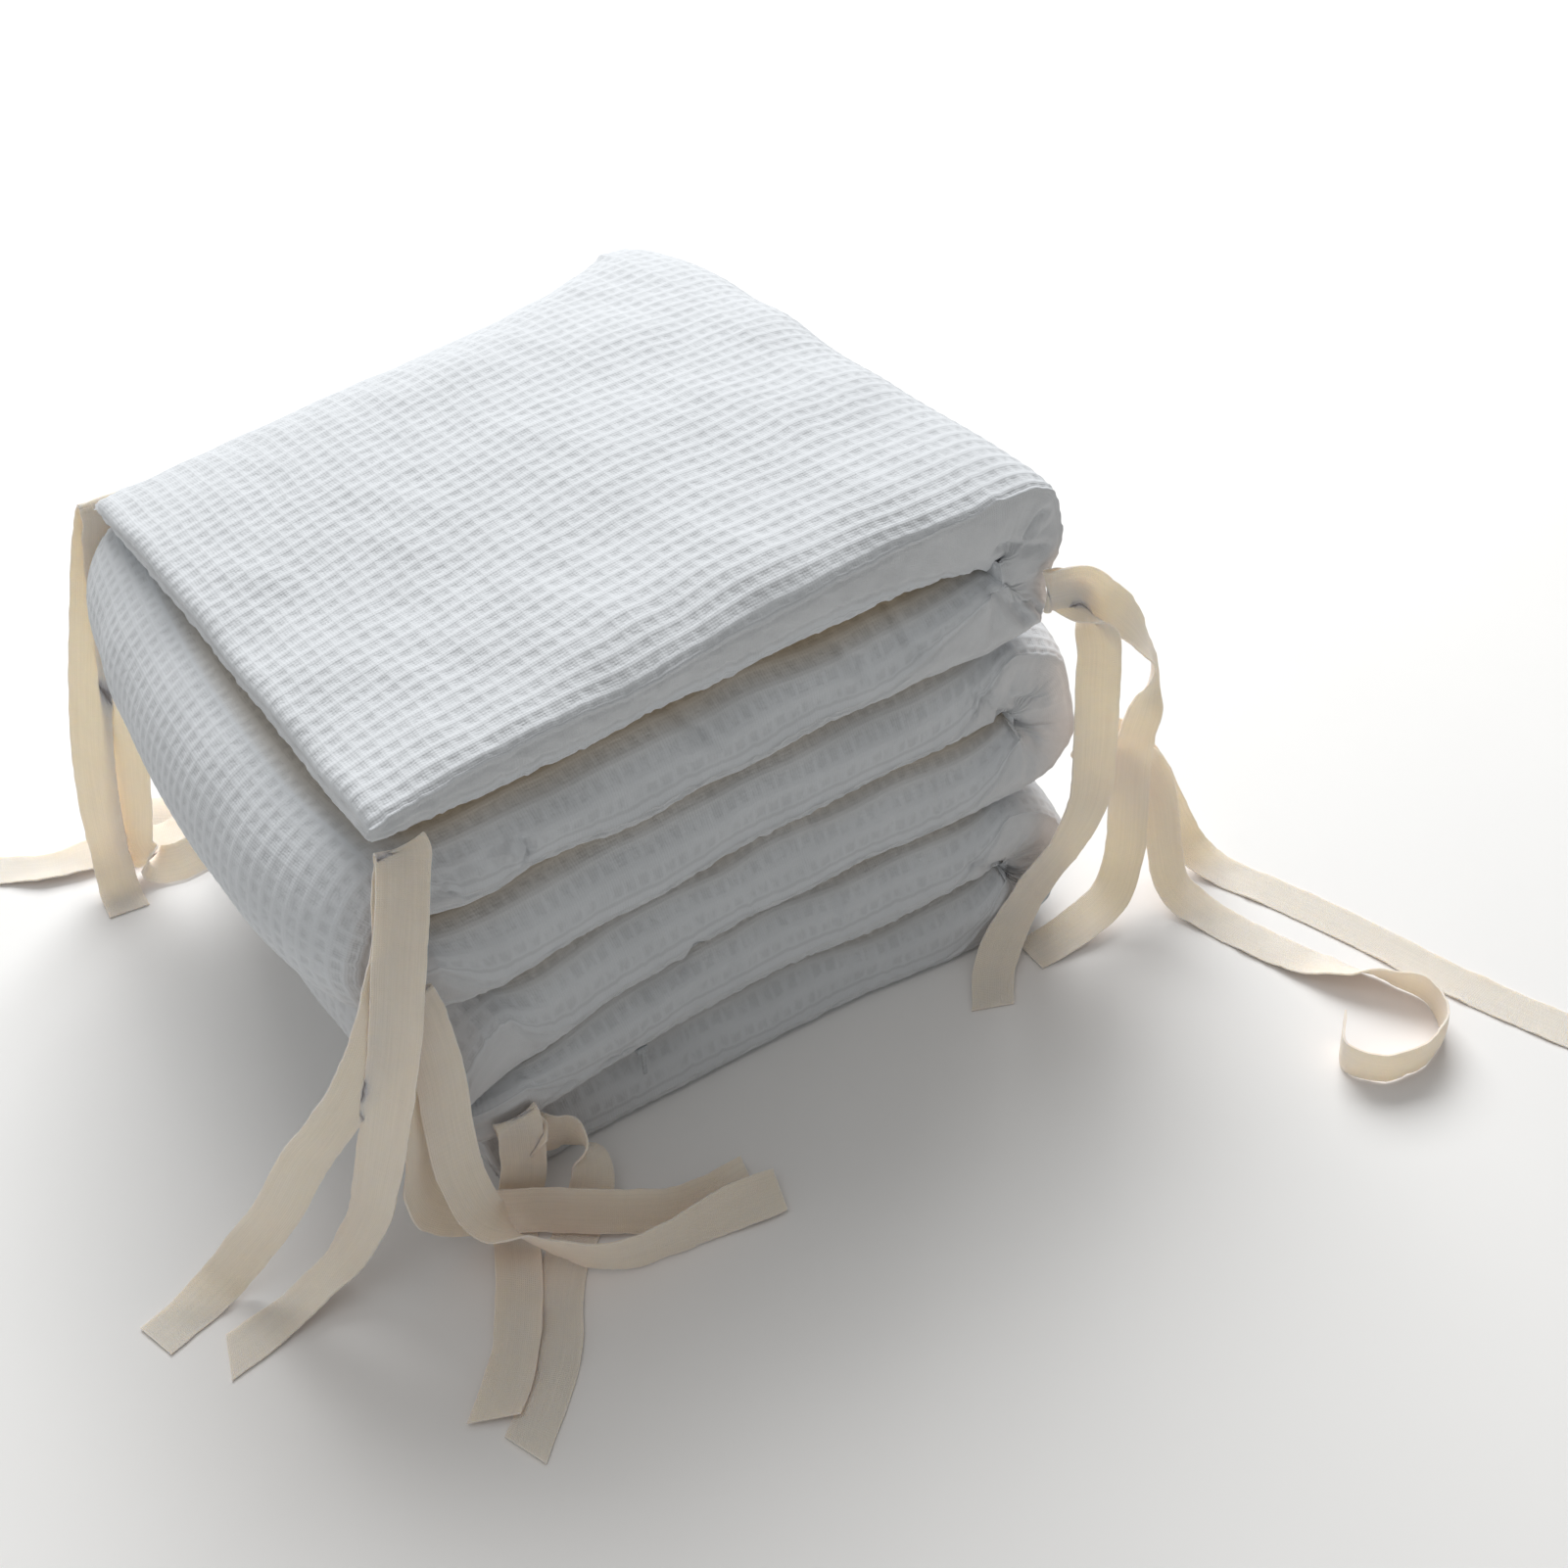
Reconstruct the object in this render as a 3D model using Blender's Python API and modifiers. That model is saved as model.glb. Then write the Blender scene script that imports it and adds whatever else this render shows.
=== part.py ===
"""Crib bumper: one padded strip folded back and forth in six layers, with cotton tape ties.

Metres, +Z up. The folded stack lies on Z = 0 with the middle of its underside at the
origin. X runs along the layers, from the strip's free ends to its first fold. Y runs
across the strip, from its front edge to its back edge.
"""

import math

import bmesh
import bpy
import numpy as np

MM = 0.001

# Driving sizes.
STRIP_WIDTH = 300 * MM  # across the strip, which is the bumper's height in use
PAD_THICKNESS = 44.6 * MM  # filled strip away from its edges
LAYER_GAP = 1.6 * MM  # between one layer and the next
LAYER_COUNT = 6
GUSSET_FILL = 0.45  # thickness at the side seams, as a share of PAD_THICKNESS
FOLD_GUSSET_FILL = 0.84  # the same where the strip turns over
FOLD_FILL = 0.95  # how far the folds are squeezed by the layers above
SIDE_ROLL = 36 * MM  # width over which a face rolls down to the side seam
TAPE_WIDTH = 21 * MM
TAPE_THICKNESS = 1.2 * MM
FLOOR_GAP = 0.3 * MM

# How finely the strip is divided.
RUN_STEPS = 9
FOLD_STEPS = 10
ACROSS_STEPS = 14
TAPE_STEPS = 3  # between one row of a tie's table and the next

LAYER_PITCH = PAD_THICKNESS + LAYER_GAP
HALF_WIDTH = STRIP_WIDTH / 2

# One row a layer, top first. Millimetres: where its run starts at the left and ends at
# the right, how far its edges droop, how far it is moved along Y at its left end, its
# middle and its right end, and how far its front left corner is lifted.
LAYER_COLUMNS = (
    "left", "right", "droop", "shift_left", "shift_middle", "shift_right", "lift"
)
LAYERS = (
    (-165, 137, 8.0, 0, 0, 0, 12),
    (-164, 137, 6.0, 1, 2, -4, 0),
    (-164, 153, 5.0, -2, 0, -3, 0),
    (-145, 153, 3.5, -4, -1, -14, 0),
    (-145, 148, 2.0, -4, -3, -17, 0),
    (-148, 148, 0.0, 3, -3, -20, 0),
)

# One row a fold: how far its mid-surface reaches out past the runs at stations across
# the strip. Where that is less than FOLD_DEPTH, the runs stop short instead.
FOLD_DEPTH = 23 * MM
FOLD_STATIONS = (-150, -125, -95, -40, 45, 120, 150)
FOLDS = (
    (16, 21, 23, 24, 24, 21, 16),
    (2, 14, 21, 23, 18, 6, 0),
    (16, 21, 23, 24, 24, 21, 16),
    (2, 9, 15, 18, 17, 11, 4),
    (14, 19, 22, 23, 23, 19, 14),
)

# One table a tie, from the end of one tail up to its root and down to the end of the
# other. Millimetres for its middle line, then the compass bearing from +X and the rise,
# in degrees, of a line across the tape.
TIE_COLUMNS = ("x", "y", "z", "bearing", "rise")
TIES = {
    "tie_top_front": (
        (-286, -153, 0.9, -80, 0),
        (-267, -151, 1.6, -82, 2),
        (-247, -149, 5.4, -82, 10),
        (-228, -150, 17, -76, 14),
        (-213, -155, 40, -64, 14),
        (-203, -162, 76, -50, 10),
        (-193, -169, 120, -38, 4),
        (-183, -171, 156, -28, 4),
        (-173, -169, 192, -18, 6),
        (-163, -163, 218, -8, 4),
        (-157, -157.2, 231.6, -2, 0),
        (-155, -154.4, 235, 0, 0),
        (-155, -153.2, 235.8, 0, 0),
        (-155, -151.8, 235, 0, 0),
        (-157, -153.6, 229, -2, 0),
        (-161, -156.2, 220, -2, 0),
        (-167, -161.6, 203, -6, -2),
        (-178, -165.6, 180, -10, -6),
        (-191, -166.6, 151, -16, -18),
        (-208, -163, 122, -20, -32),
        (-228, -152, 90, -34, -36),
        (-243, -138, 56, -46, -28),
        (-258, -125, 26, -54, -20),
        (-275, -120, 7, -54, -10),
        (-294, -123, 1.6, -50, -3),
        (-309, -126, 0.9, -46, 0),
    ),
    "tie_fold_front": (
        (-45, -229, 4.4, 100, 18),
        (-71, -227, 9.8, 108, 50),
        (-99, -225, 11.4, 130, 74),
        (-123, -220, 12.2, 150, 78),
        (-142, -206, 14, 152, 66),
        (-156, -188, 16, 156, 52),
        (-166, -176, 27, 164, 34),
        (-170, -170, 50, 168, 16),
        (-170, -168.4, 86, 166, 8),
        (-168, -168, 118, 170, 4),
        (-168, -166.4, 146, 176, 0),
        (-169, -163.85, 162, 180, 0),
        (-170, -162.45, 166.6, 180, 0),
        (-170, -161.05, 167.4, 180, 0),
        (-170, -159.85, 166.6, 180, 0),
        (-170.6, -160.25, 158, 182, 0),
        (-172, -161.05, 145, 184, -2),
        (-175, -162, 116, 190, -8),
        (-181, -162.6, 84, 200, -22),
        (-187, -161, 56, 210, -36),
        (-184, -160.4, 32, 214, -52),
        (-174, -161, 19, 220, -58),
        (-159, -166.6, 13.6, 222, -56),
        (-142, -177, 12.8, 216, -52),
        (-127, -189, 12.6, 208, -50),
        (-111, -201, 12, 206, -50),
        (-92, -212, 9.6, 222, -44),
        (-71, -215, 6.4, 236, -30),
        (-52, -214, 3.6, 248, -14),
    ),
    "tie_bottom_front": (
        (-210, -245, 0.9, -38, 0),
        (-198, -235, 0.9, -36, 0),
        (-185, -221, 0.9, -32, 0),
        (-173, -204, 0.9, -30, 0),
        (-163, -187, 0.9, -28, 0),
        (-154, -173, 1.3, -27, 0),
        (-147, -164, 5, -26, 0),
        (-142, -162.4, 16, -20, 0),
        (-139, -161.75, 28, -14, 0),
        (-137.6, -161.55, 42, -8, 0),
        (-137, -161.35, 54, -2, 0),
        (-137, -160.75, 58.4, 0, 0),
        (-137, -159.35, 59.6, 0, 0),
        (-136.8, -157.95, 58.4, 0, 0),
        (-136, -157.55, 50, 0, -8),
        (-131, -156.75, 40, -8, -40),
        (-122, -158, 33, -26, -68),
        (-114, -160.6, 29, -44, -76),
        (-110, -168, 23, -50, -64),
        (-113, -176, 14, -50, -44),
        (-121, -183, 5, -50, -18),
        (-131, -190, 1, -48, 0),
        (-144, -201, 0.9, -44, 0),
        (-157, -218, 0.9, -36, 0),
        (-169, -237, 0.9, -38, 0),
        (-186, -254, 0.9, -42, 0),
        (-203, -268, 0.9, -44, 0),
    ),
    "tie_top_back": (
        (-222, 132, 0.9, -6, 0),
        (-221, 146, 3, -12, 2),
        (-218, 157, 14, -28, 4),
        (-213, 162, 48, -30, 2),
        (-206, 163, 84, -24, -2),
        (-194, 163, 128, -20, -2),
        (-180, 162, 172, -14, -2),
        (-169, 160.1, 203, -8, 0),
        (-161, 158.3, 224, 0, 0),
        (-160, 157.1, 227.4, 0, 0),
        (-160, 155.7, 228.6, 0, 0),
        (-160, 154.3, 227.4, 0, 0),
        (-161, 154.5, 219, 0, 0),
        (-165, 155.7, 203, -4, 0),
        (-173, 157.1, 165, -12, -2),
        (-181, 158.4, 122, -18, -2),
        (-189, 159.4, 81, -26, -2),
        (-197, 159, 44, -38, -6),
        (-202, 156.6, 18, -52, -16),
        (-199, 149, 10.4, -70, -32),
        (-188, 143.4, 8.8, -88, -44),
        (-173, 143.6, 8.8, -100, -46),
    ),
    "tie_bottom_back": (
        (-280, 214, 0.9, -120, 0),
        (-264, 203, 1.6, -122, 2),
        (-247, 190, 3.8, -120, 4),
        (-226, 182.6, 6.4, -112, -8),
        (-206, 176, 6, -108, -8),
        (-189, 170.4, 6.6, -104, -4),
        (-174, 167, 9, -108, 0),
        (-160, 164, 14, -124, 4),
        (-150, 161.4, 22, -148, 6),
        (-144, 159.6, 31, -170, 2),
        (-141, 158.4, 38, -180, 0),
        (-140, 157.4, 40.4, -180, 0),
        (-139.6, 156, 40.6, -180, 0),
        (-139.4, 154.8, 38.6, -180, 0),
        (-139, 154.4, 28, -180, 0),
        (-140, 155.6, 14, -172, 0),
        (-144, 161, 4.8, -156, 0),
        (-153, 170, 1.4, -136, 0),
        (-165, 180, 2.4, -130, -8),
        (-178, 190, 4.4, -126, -20),
        (-192, 199, 3, -122, -8),
        (-208, 207, 0.9, -118, 0),
    ),
    "tie_upper_right": (
        (105, -203, 0.9, -22, 0),
        (120, -186, 5, -22, 2),
        (138, -177, 17, -20, -8),
        (154, -177, 38, -18, -20),
        (167, -183, 62, -20, -16),
        (176, -186, 88, -28, -4),
        (179, -184, 121, -33, 0),
        (182, -179, 154, -40, -2),
        (186, -172, 179, -60, -20),
        (185, -166, 194, -90, -48),
        (180, -160.35, 203, -110, -72),
        (173.6, -157.35, 206.8, -120, -84),
        (171.4, -157.75, 207.4, -124, -86),
        (170.6, -158.55, 207.8, -128, -86),
        (171.4, -159.55, 208, -134, -86),
        (174, -160.55, 208.2, -144, -84),
        (182, -163.95, 208.5, -160, -76),
        (192, -168.5, 203, -160, -60),
        (205, -173, 192, -156, -40),
        (216, -176, 176, -150, -14),
        (223, -177.5, 158, -158, 2),
        (223, -178, 141, -180, 4),
        (216, -181, 126, -196, 4),
        (209, -182, 110, -202, 5),
        (208, -182, 85, -206, 6),
        (210, -182, 56, -212, 10),
        (207, -185, 30, -230, 18),
        (195, -190, 14, -252, 22),
        (175, -191, 7.5, -264, 16),
        (157, -190, 3.6, -272, 8),
        (142, -188, 1.2, -280, 2),
    ),
    "tie_lower_right": (
        (226, -322, 11.4, -172, 84),
        (213, -335, 11.4, -172, 84),
        (222, -351, 11.4, -172, 84),
        (244, -357, 11.4, -172, 84),
        (267, -350, 11.4, -172, 84),
        (276, -332, 11.4, -172, 80),
        (268, -312, 10.6, -172, 60),
        (258, -296, 6.6, -172, 30),
        (249, -276, 2.2, -172, 6),
        (240, -248, 1, -172, 0),
        (233, -222, 2.4, -174, -4),
        (228, -204, 10, -178, -8),
        (230, -192, 27, -184, -10),
        (233, -182, 50, -194, -12),
        (229, -175, 71, -204, -20),
        (215, -171, 90, -212, -36),
        (196, -170.4, 103, -214, -60),
        (178.6, -168.65, 108.6, -214, -80),
        (175.6, -168.05, 109.6, -214, -84),
        (174.6, -167.05, 110, -214, -86),
        (175.6, -166.05, 110.4, -214, -86),
        (178.6, -165.45, 111, -214, -84),
        (194, -164.05, 108, -214, -70),
        (216, -163, 94, -208, -46),
        (238, -166, 62, -198, -26),
        (250, -175, 30, -190, -14),
        (256, -188, 10, -180, -6),
        (262, -204, 2.4, -170, -2),
        (272, -230, 1, -166, 0),
        (287, -279, 0.9, -168, 0),
        (300, -332, 0.9, -169, 0),
        (314, -374, 0.9, -168, 0),
        (326, -406, 0.9, -166, 0),
    ),
}

# Zip slider and its pull tab: low and high corner of each, in millimetres.
ZIP_BODY = ((-69.4, -151.6, 43.0), (-63.6, -147.6, 46.8))
ZIP_TAB = ((-67.7, -151.4, 27.0), (-65.3, -150.2, 44.4))

# The free ends: share of the full thickness at the end, and the length of the taper.
TOP_END_FILL = 0.36
TOP_TAPER = 220 * MM
BOTTOM_END_FILL = 0.8
BOTTOM_TAPER = 60 * MM


def smooth_between(at, stations, values):
    """Cubic curve through values given at stations, read at `at`."""
    stations = np.asarray(stations, float)
    values = np.asarray(values, float)
    slopes = np.gradient(values, stations, axis=0)
    i = int(np.clip(np.searchsorted(stations, at) - 1, 0, len(stations) - 2))
    span = stations[i + 1] - stations[i]
    t = min(max((at - stations[i]) / span, 0.0), 1.0)
    start = values[i] * (2 * t**3 - 3 * t**2 + 1) + slopes[i] * span * (t**3 - 2 * t**2 + t)
    end = values[i + 1] * (3 * t**2 - 2 * t**3) + slopes[i + 1] * span * (t**3 - t**2)
    return start + end


def layer(index):
    return dict(zip(LAYER_COLUMNS, LAYERS[index]))


def end_fill(index, along):
    """Share of the full thickness at a distance from the strip's free ends."""
    if index == 0:
        ease = math.sin(math.pi / 2 * min(1.0, along / TOP_TAPER))
        return TOP_END_FILL + (1 - TOP_END_FILL) * ease
    if index == LAYER_COUNT - 1:
        ease = math.sin(math.pi / 2 * min(1.0, along / BOTTOM_TAPER))
        return BOTTOM_END_FILL + (1 - BOTTOM_END_FILL) * ease
    return 1.0


def fold_reach(index, across):
    """How far the fold under a layer reaches out past the ends of the runs' table."""
    return smooth_between(across / MM, FOLD_STATIONS, FOLDS[index]) * MM


def recess(index, across):
    """How far short of the table's ends the runs stop at the fold under a layer."""
    if index < 0 or index >= LAYER_COUNT - 1:
        return 0.0
    return max(0.0, FOLD_DEPTH - fold_reach(index, across))


def run_ends(index, across):
    """Left and right end of a layer's run at a distance from the strip's middle line."""
    row = layer(index)
    above = recess(index - 1, across)
    below = recess(index, across)
    if index % 2 == 0:
        return row["left"] * MM + above, row["right"] * MM - below
    return row["left"] * MM + below, row["right"] * MM - above


def run_point(index, share, across):
    """Mid-surface of a layer: share runs 0 to 1 from its left end to its right end."""
    row = layer(index)
    left, right = run_ends(index, across)
    x = left + (right - left) * share
    fill = end_fill(index, x - left)
    underside = (LAYER_COUNT - 1 - index) * LAYER_PITCH
    droop = row["droop"] * MM * abs(across / HALF_WIDTH) ** 2.5
    shifts = (row["shift_left"], row["shift_middle"], row["shift_right"])
    shift = smooth_between(share, (0, 0.5, 1), shifts) * MM
    forward = max(0.0, -across / HALF_WIDTH)
    lift = row["lift"] * MM * max(0.0, 1 - share / 0.5) ** 2 * forward**2
    height = underside + fill * PAD_THICKNESS / 2 - droop + lift
    return np.array((x, across + shift, height))


def fold_point(index, turn, across):
    """Mid-surface of the fold under a layer: turn runs 0 to 1 round it."""
    side = 1 if index % 2 == 0 else -1
    share = 1 if side > 0 else 0
    upper = run_point(index, share, across)
    lower = run_point(index + 1, share, across)
    reach = max(FOLD_DEPTH, fold_reach(index, across))
    angle = math.pi * turn
    point = (upper + lower) / 2 + (upper - lower) / 2 * math.cos(angle)
    point[0] += side * reach * math.sin(angle)
    return point


def stations():
    """Each station along the strip: which layer, run or fold, and how far through it."""
    rows = []
    for index in range(LAYER_COUNT):
        for step in range(RUN_STEPS + 1):
            share = step / RUN_STEPS
            rows.append((index, "run", share if index % 2 == 0 else 1 - share))
        if index < LAYER_COUNT - 1:
            for step in range(1, FOLD_STEPS):
                rows.append((index, "fold", step / FOLD_STEPS))
    return rows


def edge_fill(kind, share):
    """Thickness share at the side seams, fuller where the strip turns over."""
    if kind == "fold":
        return FOLD_GUSSET_FILL
    nearest_end = min(share, 1 - share)
    ease = max(0.0, 1 - nearest_end / 0.16) ** 2
    return GUSSET_FILL + (FOLD_GUSSET_FILL - GUSSET_FILL) * ease


def fill_at(station, across):
    """Share of the full thickness at a station and a distance across the strip."""
    index, kind, share = station
    inward = (abs(across) - (HALF_WIDTH - SIDE_ROLL)) / SIDE_ROLL
    roll = math.sqrt(max(0.0, 1 - max(0.0, inward) ** 2))
    at_edge = edge_fill(kind, share)
    fill = at_edge + (1 - at_edge) * roll
    if kind == "fold":
        return fill * FOLD_FILL
    left, right = run_ends(index, across)
    return fill * end_fill(index, share * (right - left))


def across_at(step):
    """Distance from the strip's middle line, closer together towards its edges."""
    even = 2 * step / ACROSS_STEPS - 1
    return HALF_WIDTH * (1.38 * even - 0.38 * even**3)


def make_material(name, colour, roughness):
    material = bpy.data.materials.new(name)
    material.use_nodes = True
    shader = material.node_tree.nodes["Principled BSDF"]
    shader.inputs["Base Color"].default_value = (*colour, 1)
    shader.inputs["Roughness"].default_value = roughness
    shader.inputs["Metallic"].default_value = 0
    return material


def waffle_cotton():
    return make_material("waffle_cotton", (0.78, 0.81, 0.84), 0.9)


def cotton_tape():
    return make_material("cotton_tape", (0.68, 0.60, 0.46), 0.92)


def coated_zinc():
    return make_material("coated_zinc", (0.62, 0.63, 0.63), 0.45)


def place(name, mesh, material, collection):
    mesh.materials.append(material)
    piece = bpy.data.objects.new(name, mesh)
    collection.objects.link(piece)
    return piece


def make_padded_strip(collection):
    """The whole strip: its mid-surface as a grid laid back and forth, then thickened."""
    rows = stations()
    grid = bmesh.new()
    bmesh.ops.create_grid(
        grid, x_segments=len(rows) - 1, y_segments=ACROSS_STEPS, size=1
    )
    mesh = bpy.data.meshes.new("padded_strip")
    grid.to_mesh(mesh)
    grid.free()
    mesh.shade_smooth()
    piece = place("padded_strip", mesh, waffle_cotton(), collection)
    fill = piece.vertex_groups.new(name="fill")
    for vertex in mesh.vertices:
        station = rows[round((vertex.co.x + 1) / 2 * (len(rows) - 1))]
        across = across_at(round((vertex.co.y + 1) / 2 * ACROSS_STEPS))
        index, kind, share = station
        point = run_point if kind == "run" else fold_point
        vertex.co = point(index, share, across)
        fill.add([vertex.index], fill_at(station, across), "REPLACE")
    thicken = piece.modifiers.new("Filling", "SOLIDIFY")
    thicken.thickness = PAD_THICKNESS
    thicken.offset = 0
    thicken.use_even_offset = False
    thicken.vertex_group = fill.name
    return piece


def middle_line(rows):
    """Rows of a tie's table with TAPE_STEPS steps between one and the next."""
    rows = np.array(rows, float)
    legs = np.linalg.norm(np.diff(rows[:, :3], axis=0), axis=1)
    lengths = np.concatenate(((0,), np.cumsum(legs)))
    line = []
    for i, leg in enumerate(legs):
        for step in range(TAPE_STEPS):
            line.append(smooth_between(lengths[i] + leg * step / TAPE_STEPS, lengths, rows))
    line.append(rows[-1])
    return line


def crosswise(at, ahead):
    """Unit vector across the tape, from a row's bearing and rise, square to its path."""
    bearing, rise = np.radians(at[3:])
    level = math.cos(rise)
    across = np.array((math.cos(bearing) * level, math.sin(bearing) * level, math.sin(rise)))
    ahead = ahead / np.linalg.norm(ahead)
    across -= ahead * (across @ ahead)
    return across / np.linalg.norm(across)


def make_tie(name, collection, material):
    """One tape folded at its root: a grid laid along its middle line, then thickened."""
    middle = middle_line(TIES[name])
    steps = len(middle) - 1
    grid = bmesh.new()
    bmesh.ops.create_grid(grid, x_segments=steps, y_segments=1, size=1)
    mesh = bpy.data.meshes.new(name)
    grid.to_mesh(mesh)
    grid.free()
    for vertex in mesh.vertices:
        step = round((vertex.co.x + 1) / 2 * steps)
        ahead = middle[min(step + 1, steps)][:3] - middle[max(step - 1, 0)][:3]
        sideways = crosswise(middle[step], ahead) * vertex.co.y * TAPE_WIDTH / 2
        vertex.co = middle[step][:3] * MM + sideways
        vertex.co.z = max(vertex.co.z, FLOOR_GAP + TAPE_THICKNESS / 2)
    piece = place(name, mesh, material, collection)
    thicken = piece.modifiers.new("Thickness", "SOLIDIFY")
    thicken.thickness = TAPE_THICKNESS
    thicken.offset = 0
    thicken.use_even_offset = False
    return piece


def make_block(name, corners, collection):
    """Closed box between two corners given in millimetres, with its edges eased."""
    low, high = np.array(corners) * MM
    box = bmesh.new()
    bmesh.ops.create_cube(box, size=1)
    for vertex in box.verts:
        vertex.co = (low + high) / 2 + np.array(vertex.co) * (high - low)
    bmesh.ops.bevel(box, geom=box.edges[:], offset=0.4 * MM, segments=1, affect="EDGES")
    mesh = bpy.data.meshes.new(name)
    box.to_mesh(mesh)
    box.free()
    return place(name, mesh, coated_zinc(), collection)


def make_zip_slider(collection, helpers):
    """Slider body with its pull tab hanging from it, one solid."""
    slider = make_block("zip_slider", ZIP_BODY, collection)
    tab = make_block("zip_tab_shape", ZIP_TAB, helpers)
    tab.hide_render = True
    tab.display_type = "WIRE"
    join = slider.modifiers.new("Pull tab", "BOOLEAN")
    join.operation = "UNION"
    join.solver = "EXACT"
    join.object = tab
    return slider


def clear_scene():
    for piece in list(bpy.data.objects):
        bpy.data.objects.remove(piece)


def main():
    clear_scene()
    bumper = bpy.data.collections.new("crib_bumper")
    bpy.context.scene.collection.children.link(bumper)
    make_padded_strip(bumper)
    tape = cotton_tape()
    for name in TIES:
        make_tie(name, bumper, tape)
    helpers = bpy.data.collections.new("helpers")
    helpers.hide_render = True
    bpy.context.scene.collection.children.link(helpers)
    make_zip_slider(bumper, helpers)


main()
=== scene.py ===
"""Folded crib bumper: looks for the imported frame.

Metres, +Z up, in the frame of the CAD model: the stack lies on Z = 0 with the middle of
its underside at the origin. X runs along the layers, Y across the strip.
"""

import math

import bpy
import numpy as np
from bpy.props import FloatProperty, FloatVectorProperty, IntProperty, PointerProperty
from mathutils import Matrix, Vector


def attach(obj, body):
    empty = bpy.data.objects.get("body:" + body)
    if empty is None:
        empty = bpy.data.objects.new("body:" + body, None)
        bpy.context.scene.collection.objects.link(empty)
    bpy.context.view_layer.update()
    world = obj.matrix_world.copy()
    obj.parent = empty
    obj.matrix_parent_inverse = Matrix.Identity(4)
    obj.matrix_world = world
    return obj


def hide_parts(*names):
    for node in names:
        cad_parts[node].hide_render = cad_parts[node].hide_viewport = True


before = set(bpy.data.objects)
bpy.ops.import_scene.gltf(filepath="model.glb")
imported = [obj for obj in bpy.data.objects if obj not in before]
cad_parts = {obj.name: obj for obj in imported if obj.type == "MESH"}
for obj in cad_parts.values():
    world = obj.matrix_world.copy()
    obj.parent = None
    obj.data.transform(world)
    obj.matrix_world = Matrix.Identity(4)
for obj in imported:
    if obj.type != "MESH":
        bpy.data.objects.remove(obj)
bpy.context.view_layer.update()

bl_info = {
    "name": "Folded Crib Bumper",
    "version": (1, 0, 0),
    "blender": (4, 5, 0),
    "location": "3D View > Sidebar > Crib Bumper",
    "description": "A padded waffle cotton strip folded in six layers, with tape ties",
    "category": "Add Mesh",
}

MM = 0.001

# One row a layer, top first, in millimetres: left and right end of its run, droop of its
# edges, shift along Y at its left end, middle and right end, lift of its front left corner.
LAYER_COLUMNS = (
    "left", "right", "droop", "shift_left", "shift_middle", "shift_right", "lift"
)
LAYERS = (
    (-165, 138, 8.0, 0, 0, 0, 12),
    (-164, 136, 6.0, 1, 2, -4, 0),
    (-164, 153, 5.0, -2, 0, -3, 0),
    (-145, 153, 3.5, -4, -1, -14, 0),
    (-145, 148, 2.0, -4, -3, -17, 0),
    (-148, 148, 0.0, 3, -3, -20, 0),
)

# One row a fold: its reach at stations across the strip, in millimetres.
FOLD_STATIONS = (-150, -125, -95, -40, 45, 120, 150)
FOLDS = (
    (23, 22, 20, 16, 14, 12, 8),
    (11, 16, 21, 23, 18, 6, 0),
    (16, 21, 23, 24, 24, 21, 16),
    (6, 11, 15, 18, 17, 11, 4),
    (14, 19, 22, 23, 23, 19, 14),
)

# One row a fold: thickness at its front and back seams, as shares, how square it is, and
# how far its inner face is tucked in between the layers at the front, in millimetres.
FOLD_SEAMS = (
    (0.84, 0.84, 0.30, 0),
    (0.42, 0.70, 0.05, -6),
    (0.80, 0.84, 0.15, 0),
    (0.60, 0.70, 0.05, -18),
    (0.80, 0.84, 0.10, 0),
)

# Where a fold's front corner stands out or is drawn in: fold, share of the turn, width as
# a share of the turn, and how far, in millimetres.
FOLD_PUSHES = (
    (0, 0.40, 0.12, 1.5),
    (0, 0.61, 0.10, -3.0),
    (0, 0.86, 0.12, 9.0),
    (2, 0.45, 0.10, -4.0),
)

# One row a layer: where the upper and the lower panel meet the gusset at the front edge,
# as shares of half the thickness above and below the layer's middle. Where the upper
# panel wraps down over the edge, the gusset is turned under.
FRONT_SEAMS = (
    (0.55, -0.06),
    (-0.62, -0.80),
    (-0.72, -0.86),
    (-0.72, -0.86),
    (-0.60, -0.80),
    (-0.68, -0.86),
)

# The same at the back edge, and how wide the upper panel rolls there, in millimetres.
BACK_SEAMS = ((-0.50, -0.85, 75),) + ((0.45, -0.45, 36),) * 5

# How thin the top and the lowest layer's free ends are, as a share, and the length in
# metres over which each becomes full.
FIRST_END = (0.36, 0.22)
LAST_END = (0.8, 0.06)

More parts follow.
